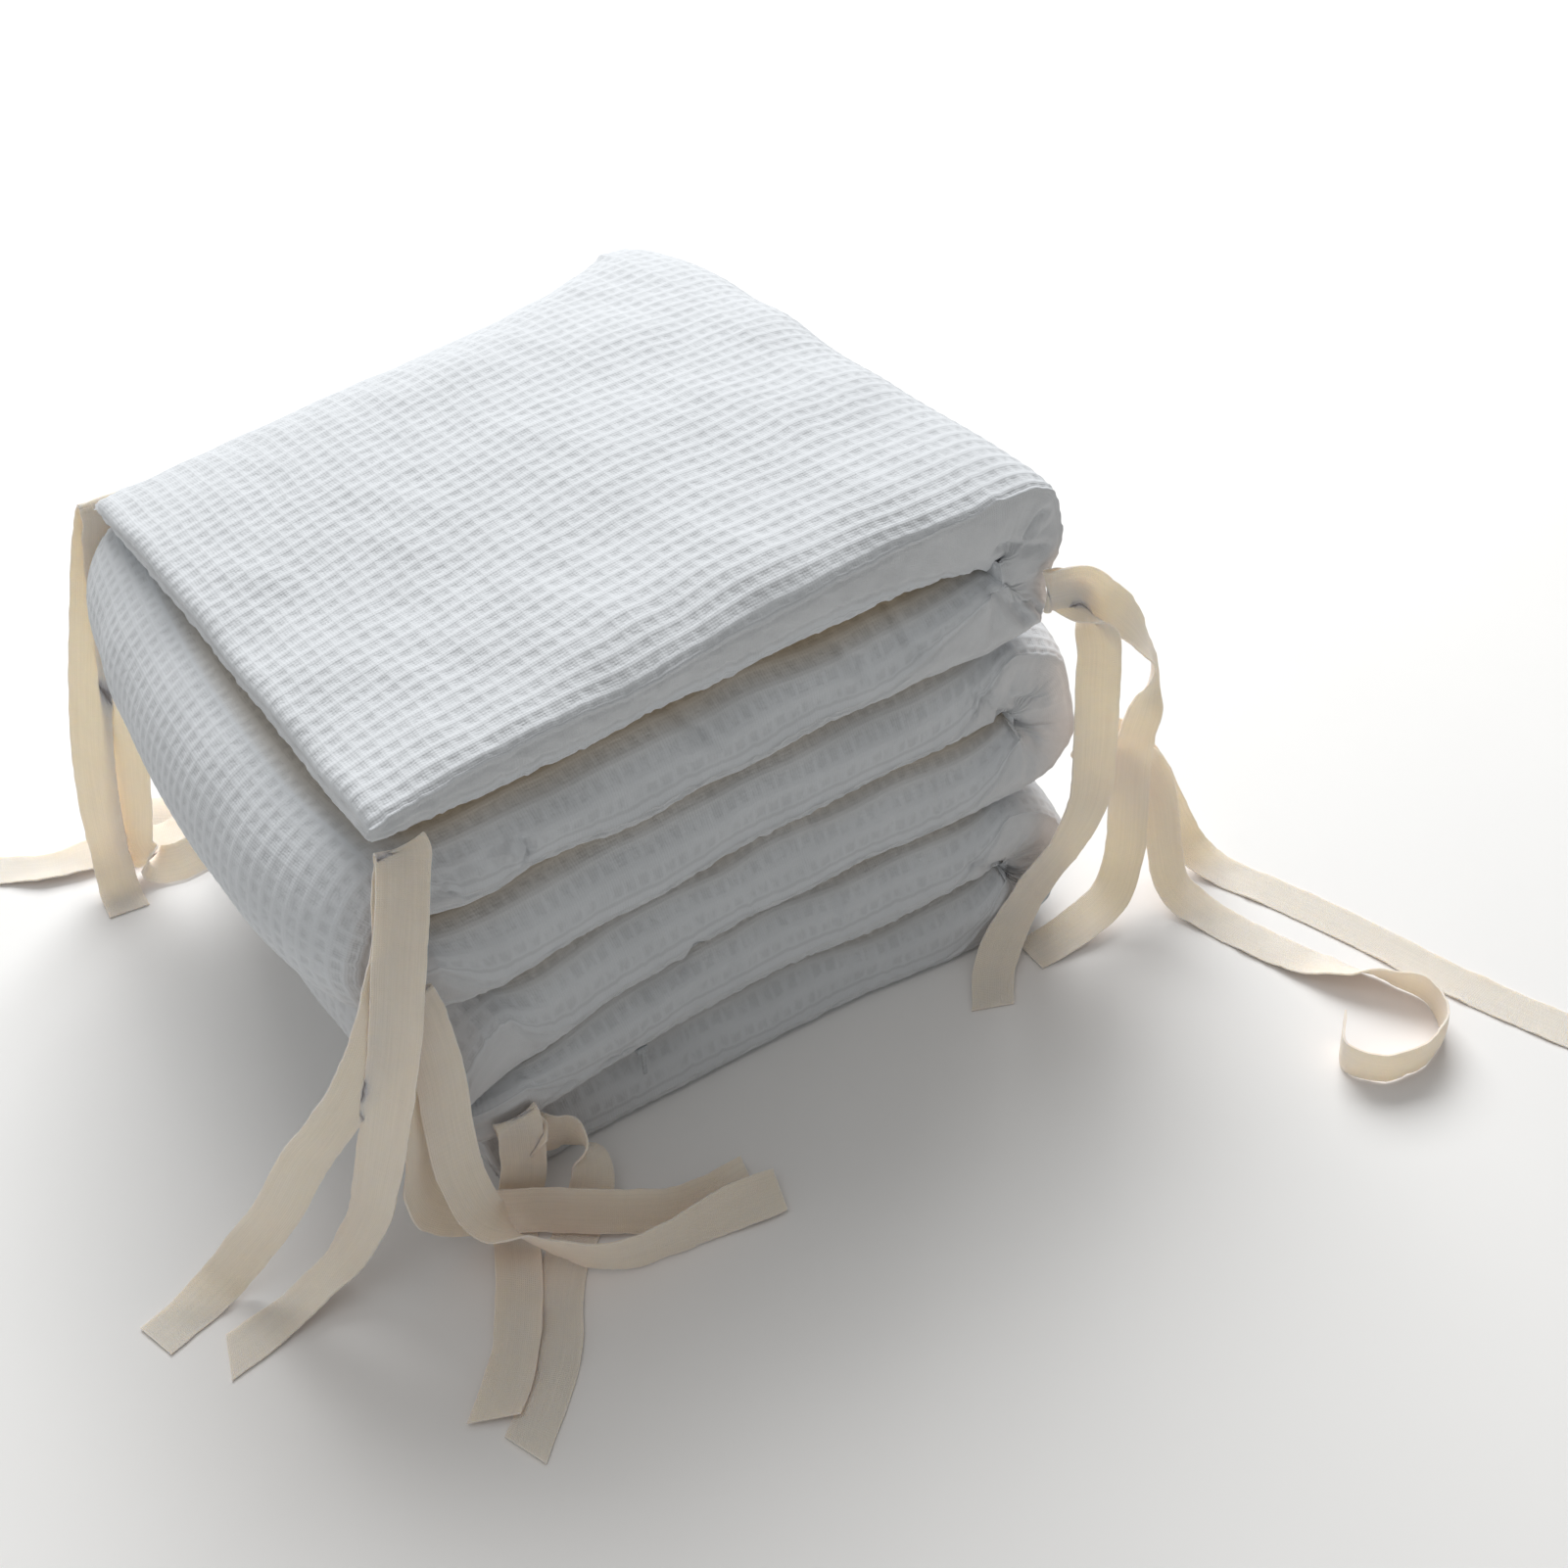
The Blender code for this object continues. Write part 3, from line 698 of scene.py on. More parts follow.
def settle(points):
    """How the front edges of the layers hang: sagging at the left and uneven."""
    x, y, z = points.T / MM
    near = ramp(-y, 70, 150)
    spread = np.where(z > 95, 38, 40)
    sag = 21 * ramp(-x, 68, 160) * np.exp(-(((z - 95) / spread) ** 2))
    forward = 1.3 * wander(81, x / 160, z / 75)
    rise = 1.4 * wander(82, x / 170, z / 120) * ramp(z, 0, 30) - sag
    rise += 3.5 * ramp(z, 238, 252)
    out = 6 * ramp(y, 70, 150) * ramp(-x, 40, 165) * ramp(z, 200, 225)
    moved = points + np.stack((0 * x, near * forward + out, near * rise), axis=-1) * MM
    moved[:, 2] = np.maximum(moved[:, 2], FLOOR_GAP * MM)
    return moved


def is_covered(station, panel):
    """True where a panel faces another layer, the floor or the inside of a fold."""
    index, kind, _ = station
    if kind == "fold":
        return panel != index % 2
    return not (index == 0 and panel == 0)


def hidden_rows(stations, panel):
    """Rows of a panel that lie between two layers or on the floor, away from the folds."""
    return np.array(
        [
            each[1] == "run" and 0.13 < each[2] < 0.87 and is_covered(each, panel)
            for each in stations
        ]
    )


def panel_faces(number, hidden, wide, flip):
    """Quads over a panel. Hidden blocks become one face each, with their shared points."""
    rows, columns = number.shape
    corners = [
        (i, j)
        for i in range(0, rows - BLOCK, BLOCK)
        for j in range(0, columns - BLOCK, BLOCK)
        if hidden[i : i + BLOCK + 1].all() and wide[j] and wide[j + BLOCK]
    ]
    blocked = np.zeros((rows, columns), bool)
    for i, j in corners:
        blocked[i : i + BLOCK, j : j + BLOCK] = True
    faces = [
        (number[i, j], number[i + 1, j], number[i + 1, j + 1], number[i, j + 1])
        for i in range(rows - 1)
        for j in range(columns - 1)
        if not blocked[i, j]
    ]
    for i, j in corners:
        loop = []
        for start, step, beside in BLOCK_SIDES:
            for k in range(BLOCK):
                if k == 0 or not blocked[i + beside[0] + k * step[0], j + beside[1] + k * step[1]]:
                    loop.append(number[i + start[0] + k * step[0], j + start[1] + k * step[1]])
        faces.append(tuple(loop))
    return [face[::-1] for face in faces] if flip else faces


def fold_shift(stations, across, panel):
    """How far along X a fold's inner and outer faces stand off their round, at the front."""
    shift = np.zeros((len(stations), len(across)))
    near_tuck = ramp(-across / MM, 105, 150)
    near_push = ramp(-across / MM, 80, 140)
    for i, (index, kind, turn) in enumerate(stations):
        if kind != "fold":
            continue
        side = 1 if index % 2 == 0 else -1
        if panel != index % 2:
            shift[i] -= side * FOLD_SEAMS[index][3] * math.sin(math.pi * turn) * near_tuck
            continue
        for fold, at, width, push in FOLD_PUSHES:
            if fold == index:
                shift[i] += side * push * math.exp(-(((turn - at) / width) ** 2)) * near_push
    return shift


def rounded_end(free):
    """How far a panel dips towards its edge at the strip's free ends."""
    inward = np.clip(free / (END_ROUND * MM), 0, 1)
    return 0.75 * END_ROUND * MM * (1 - np.sqrt(1 - (1 - inward[:, None]) ** 2))


class StripMesh:
    """The dressed strip as one closed mesh: two panels joined by the gusset."""

    def __init__(self, sizes):
        form = StripForm(sizes)
        self.sizes = sizes
        self.across, self.over, whole = panel_columns(form)
        self.stations, self.along = strip_stations(form)
        self.middle = np.array([form.point(each, self.across) for each in self.stations])
        self.fills = np.array([form.fills(each, self.across) for each in self.stations])
        self.layers = np.array([index for index, _, _ in self.stations])
        self.folded = np.array([kind == "fold" for _, kind, _ in self.stations])
        self.seam = whole - np.abs(self.over)
        self.free = np.minimum(self.along[:, 0], self.along[-1, 0] - self.along[:, 0])
        self.edge = plain_edge(self.seam, self.free)
        self.panels = [self.dressed(panel) for panel in (0, 1)]
        self.build()

    def covered(self, panel):
        return np.array([is_covered(each, panel) for each in self.stations])

    def filled(self, panel):
        """One panel's points over the filling's lumps, with scalloped seams."""
        x, y = self.middle[..., 0] / MM, self.middle[..., 1] / MM
        lumps = wander(5 + panel, x / 190, y / 150) * 0.9 + wander(15, x / 70, y / 60) * 0.35
        top = (self.layers == 0) & (panel == 0)
        soft = np.where(top, 1.0, np.where(self.folded, 0.5, 0.12))[:, None]
        scallop = wander(71 + panel, self.along[:, panel, None] / 0.013, self.over * 3)
        half = self.fills[:, panel] * self.sizes.thickness / 2
        half = half + lumps * soft * MM * ramp(self.seam, 0, 0.03)
        half = half + 0.7 * MM * scallop * (1 - ramp(self.seam, 0.002, 0.016))
        side = 1 - 2 * panel
        points = self.middle + surface_normals(self.middle, 1) * half[..., None] * side
        points[..., 0] += fold_shift(self.stations, self.across, panel) * MM
        return points

    def weave(self, panel):
        """Relief of the waffle: each cell is a pit with four slanting walls."""
        x, y = self.middle[..., 0] / MM, self.middle[..., 1] / MM
        lengths = self.along[:, panel, None]
        # Ridges across the strip are lower than those along it.
        from_cross = 0.2 + 0.8 * off_ridge(lengths, self.sizes.cell)
        pits = np.minimum(from_cross, off_ridge(self.over, self.sizes.cell)) ** 0.85
        uneven = 1 + 0.22 * wander(41 + panel, x / 26, y / 22)
        covered = self.covered(panel)
        outer = (self.layers % 2 == panel) & self.folded
        depth = np.where(outer & ~covered & (self.layers > 0), 0.75, 1.0)
        depth *= np.where(self.folded & ~outer, 0.25, 1.0) * self.sizes.cell_depth
        crinkle = wander(91 + panel, lengths / 0.013, self.over / 0.026)
        crinkle *= (covered & ~self.folded)[:, None]
        return 0.3 * MM * crinkle - pits * uneven * depth[:, None]

    def dressed(self, panel):
        """One panel's points with its weave, seams, rounded ends and creases."""
        points = self.filled(panel)
        outward = surface_normals(points, 1 - 2 * panel)
        near = ramp(self.edge, WEAVE_EDGE[0] * MM, WEAVE_EDGE[1] * MM)
        relief = self.weave(panel) * near + seam_relief(self.edge) - rounded_end(self.free)
        facing = ramp(-outward[..., 1], 0.2, 0.6) * ramp(-points[..., 1], 0.1, 0.13)
        relief -= crease_depth(points[..., 0] / MM, points[..., 2] / MM) * facing * MM
        points = points + outward * relief[..., None]
        x, y = self.middle[..., 0] / MM, self.middle[..., 1] / MM
        points[..., 0] += 0.6 * MM * wander(31, x / 120, y / 90) * near * ~self.folded[:, None]
        points[..., 1] += 0.6 * MM * wander(32, x / 90, y / 120) * near
        return points

    def rim(self):
        """Row and column of every place on the seams, once round the strip."""
        rows, columns = self.middle.shape[:2]
        places = [(i, 0) for i in range(rows - 1)]
        places += [(rows - 1, j) for j in range(columns - 1)]
        places += [(i, columns - 1) for i in range(rows - 1, 0, -1)]
        places += [(0, j) for j in range(columns - 1, 0, -1)]
        return np.array(places).T

    def gusset(self, i, j):
        """The gusset's points and cloth places: piped, wavy and pulled in by creases."""
        rows, columns = self.middle.shape[:2]
        across = unit(np.gradient(self.middle, axis=1))[i, j]
        along = unit(np.gradient(self.middle, axis=0))[i, j]
        outward = across * (1.0 * (j == columns - 1) - (j == 0))[:, None]
        outward += along * (1.0 * (i == rows - 1) - (i == 0))[:, None]
        low, high = self.panels[1][i, j], self.panels[0][i, j]
        height = np.linalg.norm(high - low, axis=1)[:, None]
        walk = self.along[i, 0] + np.abs(self.over[j]) * ((i == 0) | (i == rows - 1))
        shares = GUSSET_LINES
        to_seam = np.minimum(shares, 1 - shares)
        crown = 1 - (2 * shares - 1) ** 2
        groove = np.exp(-(((to_seam * height / MM - 1.6) / 0.9) ** 2))
        wave = wander(61, walk[:, None] / 0.026, shares * 0.9)
        wall = low[:, None] + (high - low)[:, None] * shares[:, None]
        pulled = crease_depth(wall[..., 0] / MM, wall[..., 2] / MM) * (j == 0)[:, None]
        out = (1.2 * crown - 0.8 * groove + 0.5 * wave * crown - pulled) * ramp(to_seam, 0, 0.05)
        wall += outward[:, None] * out[..., None] * MM
        return wall, np.stack((walk[:, None] + 0 * shares, shares * height), axis=-1)

    def build(self):
        """Puts the points together, with their faces, cloth places and attributes."""
        i, j = self.rim()
        wall, wall_places = self.gusset(i, j)
        rows, columns = self.middle.shape[:2]
        count = rows * columns
        inner = len(GUSSET_LINES) - 2
        first = np.arange(count).reshape(rows, columns)
        second = first + count
        number = np.zeros(wall.shape[:2], int)
        number[:, 0] = second[i, j]
        number[:, -1] = first[i, j]
        number[:, 1:-1] = 2 * count + np.arange(len(i) * inner).reshape(-1, inner)
        parts = (*self.panels, wall[:, 1:-1])
        points = settle(np.concatenate([each.reshape(-1, 3) for each in parts]))
        wide = self.seam > 0.045
        faces = panel_faces(first, hidden_rows(self.stations, 0), wide, False)
        faces += panel_faces(second, hidden_rows(self.stations, 1), wide, True)
        self.gusset_start = len(faces)
        ahead = np.roll(number, -1, axis=0)
        for k in range(inner + 1):
            quads = (number[:, k], ahead[:, k], ahead[:, k + 1], number[:, k + 1])
            faces += np.stack(quads, axis=-1).tolist()
        panel_places = np.zeros((len(points), 2))
        gusset_places = np.zeros((len(points), 2))
        gusset_places[number] = wall_places
        # inside holds where warm shade is painted, deep between the layers.
        from_seam, inside = np.zeros((2, len(points)))
        for panel in (0, 1):
            part = slice(panel * count, (panel + 1) * count)
            panel_places[part, 0] = np.repeat(self.along[:, panel], columns)
            panel_places[part, 1] = np.tile(self.over, rows)
            from_seam[part] = self.edge.reshape(-1)
            inside[part] = self.painted_shade_mask(panel).reshape(-1)
        used = np.zeros(len(points), bool)
        used[[point for face in faces for point in face]] = True
        renumber = np.cumsum(used) - 1
        self.faces = [tuple(renumber[list(face)].tolist()) for face in faces]
        self.points = points[used]
        self.panel_places = panel_places[used]
        self.gusset_places = gusset_places[used]
        # The inside attribute carries the mask of the painted warm shade.
        self.attributes = {"from_seam": from_seam[used], "inside": inside[used]}

    def painted_shade_mask(self, panel):
        """Mask of the painted warm shade: 1 deep between two layers, and 0 near the seams and the
        free ends.
        """
        covered = np.pad(self.covered(panel).astype(float), 4, mode="edge")
        covered = np.convolve(covered, np.ones(9) / 9, mode="valid")
        covered *= ramp(self.free, 0.012, 0.05)
        return covered[:, None] * ramp(self.seam, 0.009, 0.030)


def add_node(tree, kind, settings=None):
    """Adds a node and sets its properties and inputs; a socket given as a value is linked."""
    node = tree.nodes.new(kind)
    for name, value in (settings or {}).items():
        if isinstance(value, bpy.types.NodeSocket):
            tree.links.new(value, node.inputs[name])
        elif isinstance(name, int) or name in node.inputs:
            node.inputs[name].default_value = value
        else:
            setattr(node, name, value)
    return node


def cloth_material(name, base, roughness):
    """A material with its shader ready: returns the material, its tree and its shader."""
    material = bpy.data.materials.new(name)
    material.use_nodes = True
    tree = material.node_tree
    shader = tree.nodes["Principled BSDF"]
    shader.inputs["Base Color"].default_value = (*base, 1)
    shader.inputs["Roughness"].default_value = roughness
    shader.inputs["Metallic"].default_value = 0
    shader.inputs["Specular IOR Level"].default_value = 0.25
    return material, tree, shader


def threads(tree, uv, pitch, along, across, strength, distance):
    """Bump of warp and weft threads over a cloth's own length and width."""
    scaled = add_node(tree, "ShaderNodeMapping", {"Scale": (1 / pitch, 1 / pitch, 1), "Vector": uv})
    waves = []
    for direction, amount in (("X", along), ("Y", across)):
        wave = add_node(
            tree, "ShaderNodeTexWave",
            {"bands_direction": direction, "Scale": 0.3142, "Distortion": 0.6, "Detail": 2.0,
             "Detail Scale": 1.2, "Vector": scaled.outputs["Vector"]},
        )
        waves.append(
            add_node(
                tree, "ShaderNodeMath",
                {"operation": "MULTIPLY", 1: amount, 0: wave.outputs["Fac"]},
            )
        )
    both = add_node(
        tree, "ShaderNodeMath",
        {"operation": "ADD", 0: waves[0].outputs[0], 1: waves[1].outputs[0]},
    )
    fuzz = add_node(
        tree, "ShaderNodeTexNoise",
        {"Scale": 0.9, "Detail": 4.0, "Roughness": 0.7, "Vector": scaled.outputs["Vector"]},
    )
    mixed = add_node(
        tree, "ShaderNodeMath",
        {"operation": "ADD", 0: both.outputs[0], 1: fuzz.outputs["Fac"]},
    )
    return add_node(
        tree, "ShaderNodeBump",
        {"Strength": strength, "Distance": distance, "Height": mixed.outputs[0]},
    )


def shade_variation(tree, vector, scale, base, low, high):
    """The base colour, lighter and darker in soft patches."""
    noise = add_node(
        tree, "ShaderNodeTexNoise",
        {"Scale": scale, "Detail": 5.0, "Roughness": 0.6, "Vector": vector},
    )
    ramp_node = add_node(tree, "ShaderNodeValToRGB", {"Fac": noise.outputs["Fac"]})
    ramp_node.color_ramp.elements[0].position = 0.3
    ramp_node.color_ramp.elements[1].position = 0.7
    ramp_node.color_ramp.elements[0].color = (*(c * low for c in base), 1)
    ramp_node.color_ramp.elements[1].color = (*(min(1, c * high) for c in base), 1)
    return ramp_node.outputs["Color"]


def painted_warm_shade(tree, tint):
    """Painted warm shade: deep between layers, where all light comes off cotton, the colour is
    multiplied towards a warm tan.
    """
    inside = add_node(tree, "ShaderNodeAttribute", {"attribute_name": "inside"})
    mix = add_node(
        # Painted shade: the colour is multiplied by a warm tan as far as the inside mask goes.
        tree, "ShaderNodeMix",
        {"data_type": "RGBA", "blend_type": "MULTIPLY", 0: inside.outputs["Fac"], 6: tint,
         7: (*colour("#E9CFA9"), 1)},
    )
    return mix.outputs[2]


def waffle_depth(tree, uv, seam, cell):
    """How deep the weave lies: 0 on its threads and beside a seam, about 1 in a pit."""
    place = add_node(tree, "ShaderNodeSeparateXYZ", {0: uv})
    off_ridges = [
        add_node(
            tree, "ShaderNodeMath",
            {"operation": "PINGPONG", 1: cell / 2, 0: place.outputs[axis]},
        )
        for axis in ("X", "Y")
    ]
    # Ridges across the strip are fainter than those along it.
    fainter = add_node(
        tree, "ShaderNodeMath",
        {"operation": "MULTIPLY_ADD", 1: 0.8, 2: 0.1 * cell, 0: off_ridges[0].outputs[0]},
    )
    nearest = add_node(
        tree, "ShaderNodeMath",
        {"operation": "MINIMUM", 0: fainter.outputs[0], 1: off_ridges[1].outputs[0]},
    )
    pit = add_node(
        tree, "ShaderNodeMath",
        {"operation": "DIVIDE", 1: cell / 2, 0: nearest.outputs[0]},
    )
    blotches = add_node(
        tree, "ShaderNodeTexNoise",
        {"Scale": 170.0, "Detail": 3.0, "Roughness": 0.6, "Vector": uv},
    )
    spans = (
        (pit.outputs[0], 0.12, 0.8, 0.0, 1.0),
        (seam, 0.0034, 0.0054, 0.0, 1.0),
        (blotches.outputs["Fac"], 0.38, 0.62, 0.35, 1.25),
    )
    shares = [
        add_node(
            tree, "ShaderNodeMapRange",
            {"interpolation_type": "SMOOTHSTEP", "From Min": low, "From Max": high,
             "To Min": start, "To Max": end, "Value": value},
        ).outputs["Result"]
        for value, low, high, start, end in spans
    ]
    woven = add_node(
        tree, "ShaderNodeMath",
        {"operation": "MULTIPLY", 0: shares[0], 1: shares[1]},
    )
    depth = add_node(
        tree, "ShaderNodeMath",
        {"operation": "MULTIPLY", 0: woven.outputs[0], 1: shares[2]},
    )
    return depth.outputs[0]


def weave_with_painted_shade(tree, tint, depth, seam):
    """The colour with painted shade: a little darker in the pits, and darker on the line of stitches,
    partly the stitches and partly painted shade in their groove.
    """
    # The stitched line lies 3 mm inside the seam.
    inward = add_node(tree, "ShaderNodeMath", {"operation": "SUBTRACT", 1: 0.003, 0: seam})
    from_stitch = add_node(
        tree, "ShaderNodeMath",
        {"operation": "ABSOLUTE", 0: inward.outputs[0]},
    )
    # Painted shade: the pits darken to 0.9, and the stitched groove to 0.88, partly the stitches and
    # partly shade in the groove.
    painted_shades = (
        (depth, 0.0, 1.0, 1.0, 0.9),
        (from_stitch.outputs[0], 0.0002, 0.0009, 0.88, 1.0),
    )
    for value, low, high, start, end in painted_shades:
        factor = add_node(
            tree, "ShaderNodeMapRange",
            {"interpolation_type": "SMOOTHSTEP", "From Min": low, "From Max": high,
             "To Min": start, "To Max": end, "Value": value},
        )
        scaled = add_node(
            tree, "ShaderNodeVectorMath",
            {"operation": "SCALE", 0: tint, "Scale": factor.outputs["Result"]},
        )
        tint = scaled.outputs["Vector"]
    return tint


def waffle_cotton(base, cell):
    # Bleached waffle cotton: matt, cool white, thin raised threads round shaded pits; the shade in
    # the pits and the warm shade between layers are painted into its colour.
    material, tree, shader = cloth_material("waffle_cotton", base, 0.92)
    uv = add_node(tree, "ShaderNodeUVMap", {"uv_map": "cloth"}).outputs["UV"]
    seam = add_node(tree, "ShaderNodeAttribute", {"attribute_name": "from_seam"}).outputs["Fac"]
    depth = waffle_depth(tree, uv, seam, cell)
    tint = weave_with_painted_shade(tree, shade_variation(tree, uv, 60, base, 0.97, 1.02), depth, seam)
    tree.links.new(painted_warm_shade(tree, tint), shader.inputs["Base Color"])
    # Five or six threads to a waffle cell, coarser than real ones, so that they still show.
    grain = threads(tree, uv, 0.00135, 0.5, 0.5, 0.3, 0.0004)
    bump = add_node(
        tree, "ShaderNodeBump",
        {"Strength": 0.22, "Distance": 0.0012, "invert": True, "Height": depth,
         "Normal": grain.outputs["Normal"]},
    )
    tree.links.new(bump.outputs["Normal"], shader.inputs["Normal"])
    shader.inputs["Sheen Weight"].default_value = 0.12
    return material


def plain_cotton(base):
    # Plain woven gusset cloth: smoother and a little greyer than the waffle panels.
    material, tree, shader = cloth_material("plain_cotton", base, 0.88)
    uv = add_node(tree, "ShaderNodeUVMap", {"uv_map": "cloth"}).outputs["UV"]
    tint = shade_variation(tree, uv, 90, base, 0.94, 1.03)
    # The same painted warm shade between layers as on the waffle panels.
    tree.links.new(painted_warm_shade(tree, tint), shader.inputs["Base Color"])
    bump = threads(tree, uv, 0.0011, 0.5, 0.4, 0.3, 0.0004)
    tree.links.new(bump.outputs["Normal"], shader.inputs["Normal"])
    shader.inputs["Sheen Weight"].default_value = 0.1
    return material


def cotton_tape(base):
    # Unbleached cotton tape: warm cream, cross ribs, and thin enough to let light through.
    material, tree, shader = cloth_material("cotton_tape", base, 0.9)
    uv = add_node(tree, "ShaderNodeUVMap", {"uv_map": "cloth"}).outputs["UV"]
    streaks = add_node(tree, "ShaderNodeMapping", {"Scale": (9, 420, 1), "Vector": uv})
    tint = shade_variation(tree, streaks.outputs["Vector"], 2.2, base, 0.955, 1.03)
    tree.links.new(tint, shader.inputs["Base Color"])
    bump = threads(tree, uv, 0.0009, 0.6, 0.5, 0.35, 0.0004)
    tree.links.new(bump.outputs["Normal"], shader.inputs["Normal"])
    shader.inputs["Sheen Weight"].default_value = 0.15
    shader.inputs["Subsurface Weight"].default_value = 0.8
    shader.inputs["Subsurface Radius"].default_value = (1.0, 0.85, 0.65)
    shader.inputs["Subsurface Scale"].default_value = 0.003
    return material


def coated_zinc(base):
    # Painted zip metal: pale, half dull, worn a little brighter in spots.
    material, tree, shader = cloth_material("coated_zinc_finish", base, 0.42)
    where = add_node(tree, "ShaderNodeTexCoord").outputs["Object"]
    tint = shade_variation(tree, where, 900, base, 0.8, 1.15)
    tree.links.new(tint, shader.inputs["Base Color"])
    shader.inputs["Specular IOR Level"].default_value = 0.5
    return material


def pale_floor(base):
    # Matt painted board: even and pale, with the faintest cloudiness.
    material, tree, shader = cloth_material("pale_floor", base, 0.9)
    where = add_node(tree, "ShaderNodeTexCoord").outputs["Object"]
    tint = shade_variation(tree, where, 2.5, base, 0.985, 1.01)
    tree.links.new(tint, shader.inputs["Base Color"])
    return material


def new_piece(name, points, faces, materials):
    """A finished object at the origin from points in metres."""
    mesh = bpy.data.meshes.new(name)
    mesh.from_pydata(points, [], faces)
    for material in materials:
        mesh.materials.append(material)
    piece = bpy.data.objects.new(name, mesh)
    bpy.context.scene.collection.objects.link(piece)
    return piece


def corner_points(mesh):
    """The point at each corner of a mesh's faces."""
    found = np.zeros(len(mesh.loops), int)
    mesh.loops.foreach_get("vertex_index", found)
    return found


def select_only(piece):
    bpy.ops.object.select_all(action="DESELECT")
    piece.select_set(True)
    bpy.context.view_layer.objects.active = piece


class BUMPER_OT_padded_strip(bpy.types.Operator):
    """Make the padded strip with its waffle panels, seams and creased gusset"""

    bl_idname = "bumper.padded_strip"
    bl_label = "Padded strip"

    def execute(self, context):
        sizes = context.scene.bumper_pad
        strip = StripMesh(sizes)
        materials = [waffle_cotton(sizes.panel_colour, sizes.cell), plain_cotton(sizes.gusset_colour)]
        piece = new_piece("bumper_pad", strip.points.tolist(), strip.faces, materials)
        mesh = piece.data
        slots = np.zeros(len(strip.faces), int)
        slots[strip.gusset_start :] = 1
        mesh.polygons.foreach_set("material_index", slots)
        mesh.shade_smooth()
        corners = corner_points(mesh)
        gusset_corner = mesh.polygons[strip.gusset_start].loop_start
        places = strip.panel_places[corners]
        places[gusset_corner:] = strip.gusset_places[corners[gusset_corner:]]
        mesh.uv_layers.new(name="cloth").data.foreach_set("uv", places.reshape(-1))
        for name, values in strip.attributes.items():
            attribute = mesh.attributes.new(name=name, type="FLOAT", domain="POINT")
            attribute.data.foreach_set("value", values)
        mesh.update()
        if mesh.validate():
            raise RuntimeError("the padded strip's mesh had faulty faces")
        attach(piece, "root")
        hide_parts("padded_strip")
        return {"FINISHED"}


def middle_line(rows, steps):
    """A tie's rows with the given number of steps between one and the next."""
    rows = np.array(rows, float)
    legs = np.linalg.norm(np.diff(rows[:, :3], axis=0), axis=1)
    lengths = np.concatenate(((0,), np.cumsum(legs)))
    places = [
        lengths[i] + leg * step / steps for i, leg in enumerate(legs) for step in range(steps)
    ]
    places.append(lengths[-1])
    return curve_through(places, lengths, rows)


def tape_course(rows, steps):
    """A tie's middle line in metres: places, direction, sideways and length so far."""
    line = middle_line(rows, steps)
    middle = line[:, :3] * MM
    ahead = unit(np.gradient(middle, axis=0))
    bearing, rise = np.radians(line[:, 3]), np.radians(line[:, 4])
    sideways = np.stack(
        (np.cos(bearing) * np.cos(rise), np.sin(bearing) * np.cos(rise), np.sin(rise)), axis=-1
    )
    sideways = unit(sideways - ahead * (sideways * ahead).sum(axis=1, keepdims=True))
    lengths = np.linalg.norm(np.diff(middle, axis=0), axis=1)
    return middle, ahead, sideways, np.concatenate(((0,), np.cumsum(lengths)))


def tape_points(sizes, seed, course, slants, step, side):
    """A tape's points at steps along it and sides from -1 to 1: cupped and rippled."""
    middle, ahead, sideways, along = course
    place = along[step]
    edge = place[:, None] / np.array((0.055, 0.021))
    ripple = wander(seed, edge[:, 0], side * 0.25) + 0.4 * wander(seed + 1, edge[:, 1], side * 0.4)
    cup = sizes.cup * (1 - side**2) * (1 + 0.6 * wander(seed + 2, edge[:, 0], 0 * side))
    width = sizes.width / 2 * (1 + 0.02 * wander(seed + 3, place / 0.03, 0 * side))
    flat = ramp(np.minimum(place, along[-1] - place), 0, TAPE_END_FLAT)
    points = middle[step] + sideways[step] * (side * width)[:, None]
    normal = np.cross(ahead, sideways)[step]
    points += normal * ((cup + ripple * sizes.ripple * side**2) * flat)[:, None]
    near_start = ramp(TAPE_CUT - place, 0, TAPE_CUT)
    near_end = ramp(place - (along[-1] - TAPE_CUT), 0, TAPE_CUT)
    slant = (slants[1] * near_end - slants[0] * near_start) * side * MM / 2
    points += ahead[step] * slant[:, None]
    points[:, 2] = np.maximum(points[:, 2], FLOOR_GAP * MM + sizes.thickness / 2)
    return points


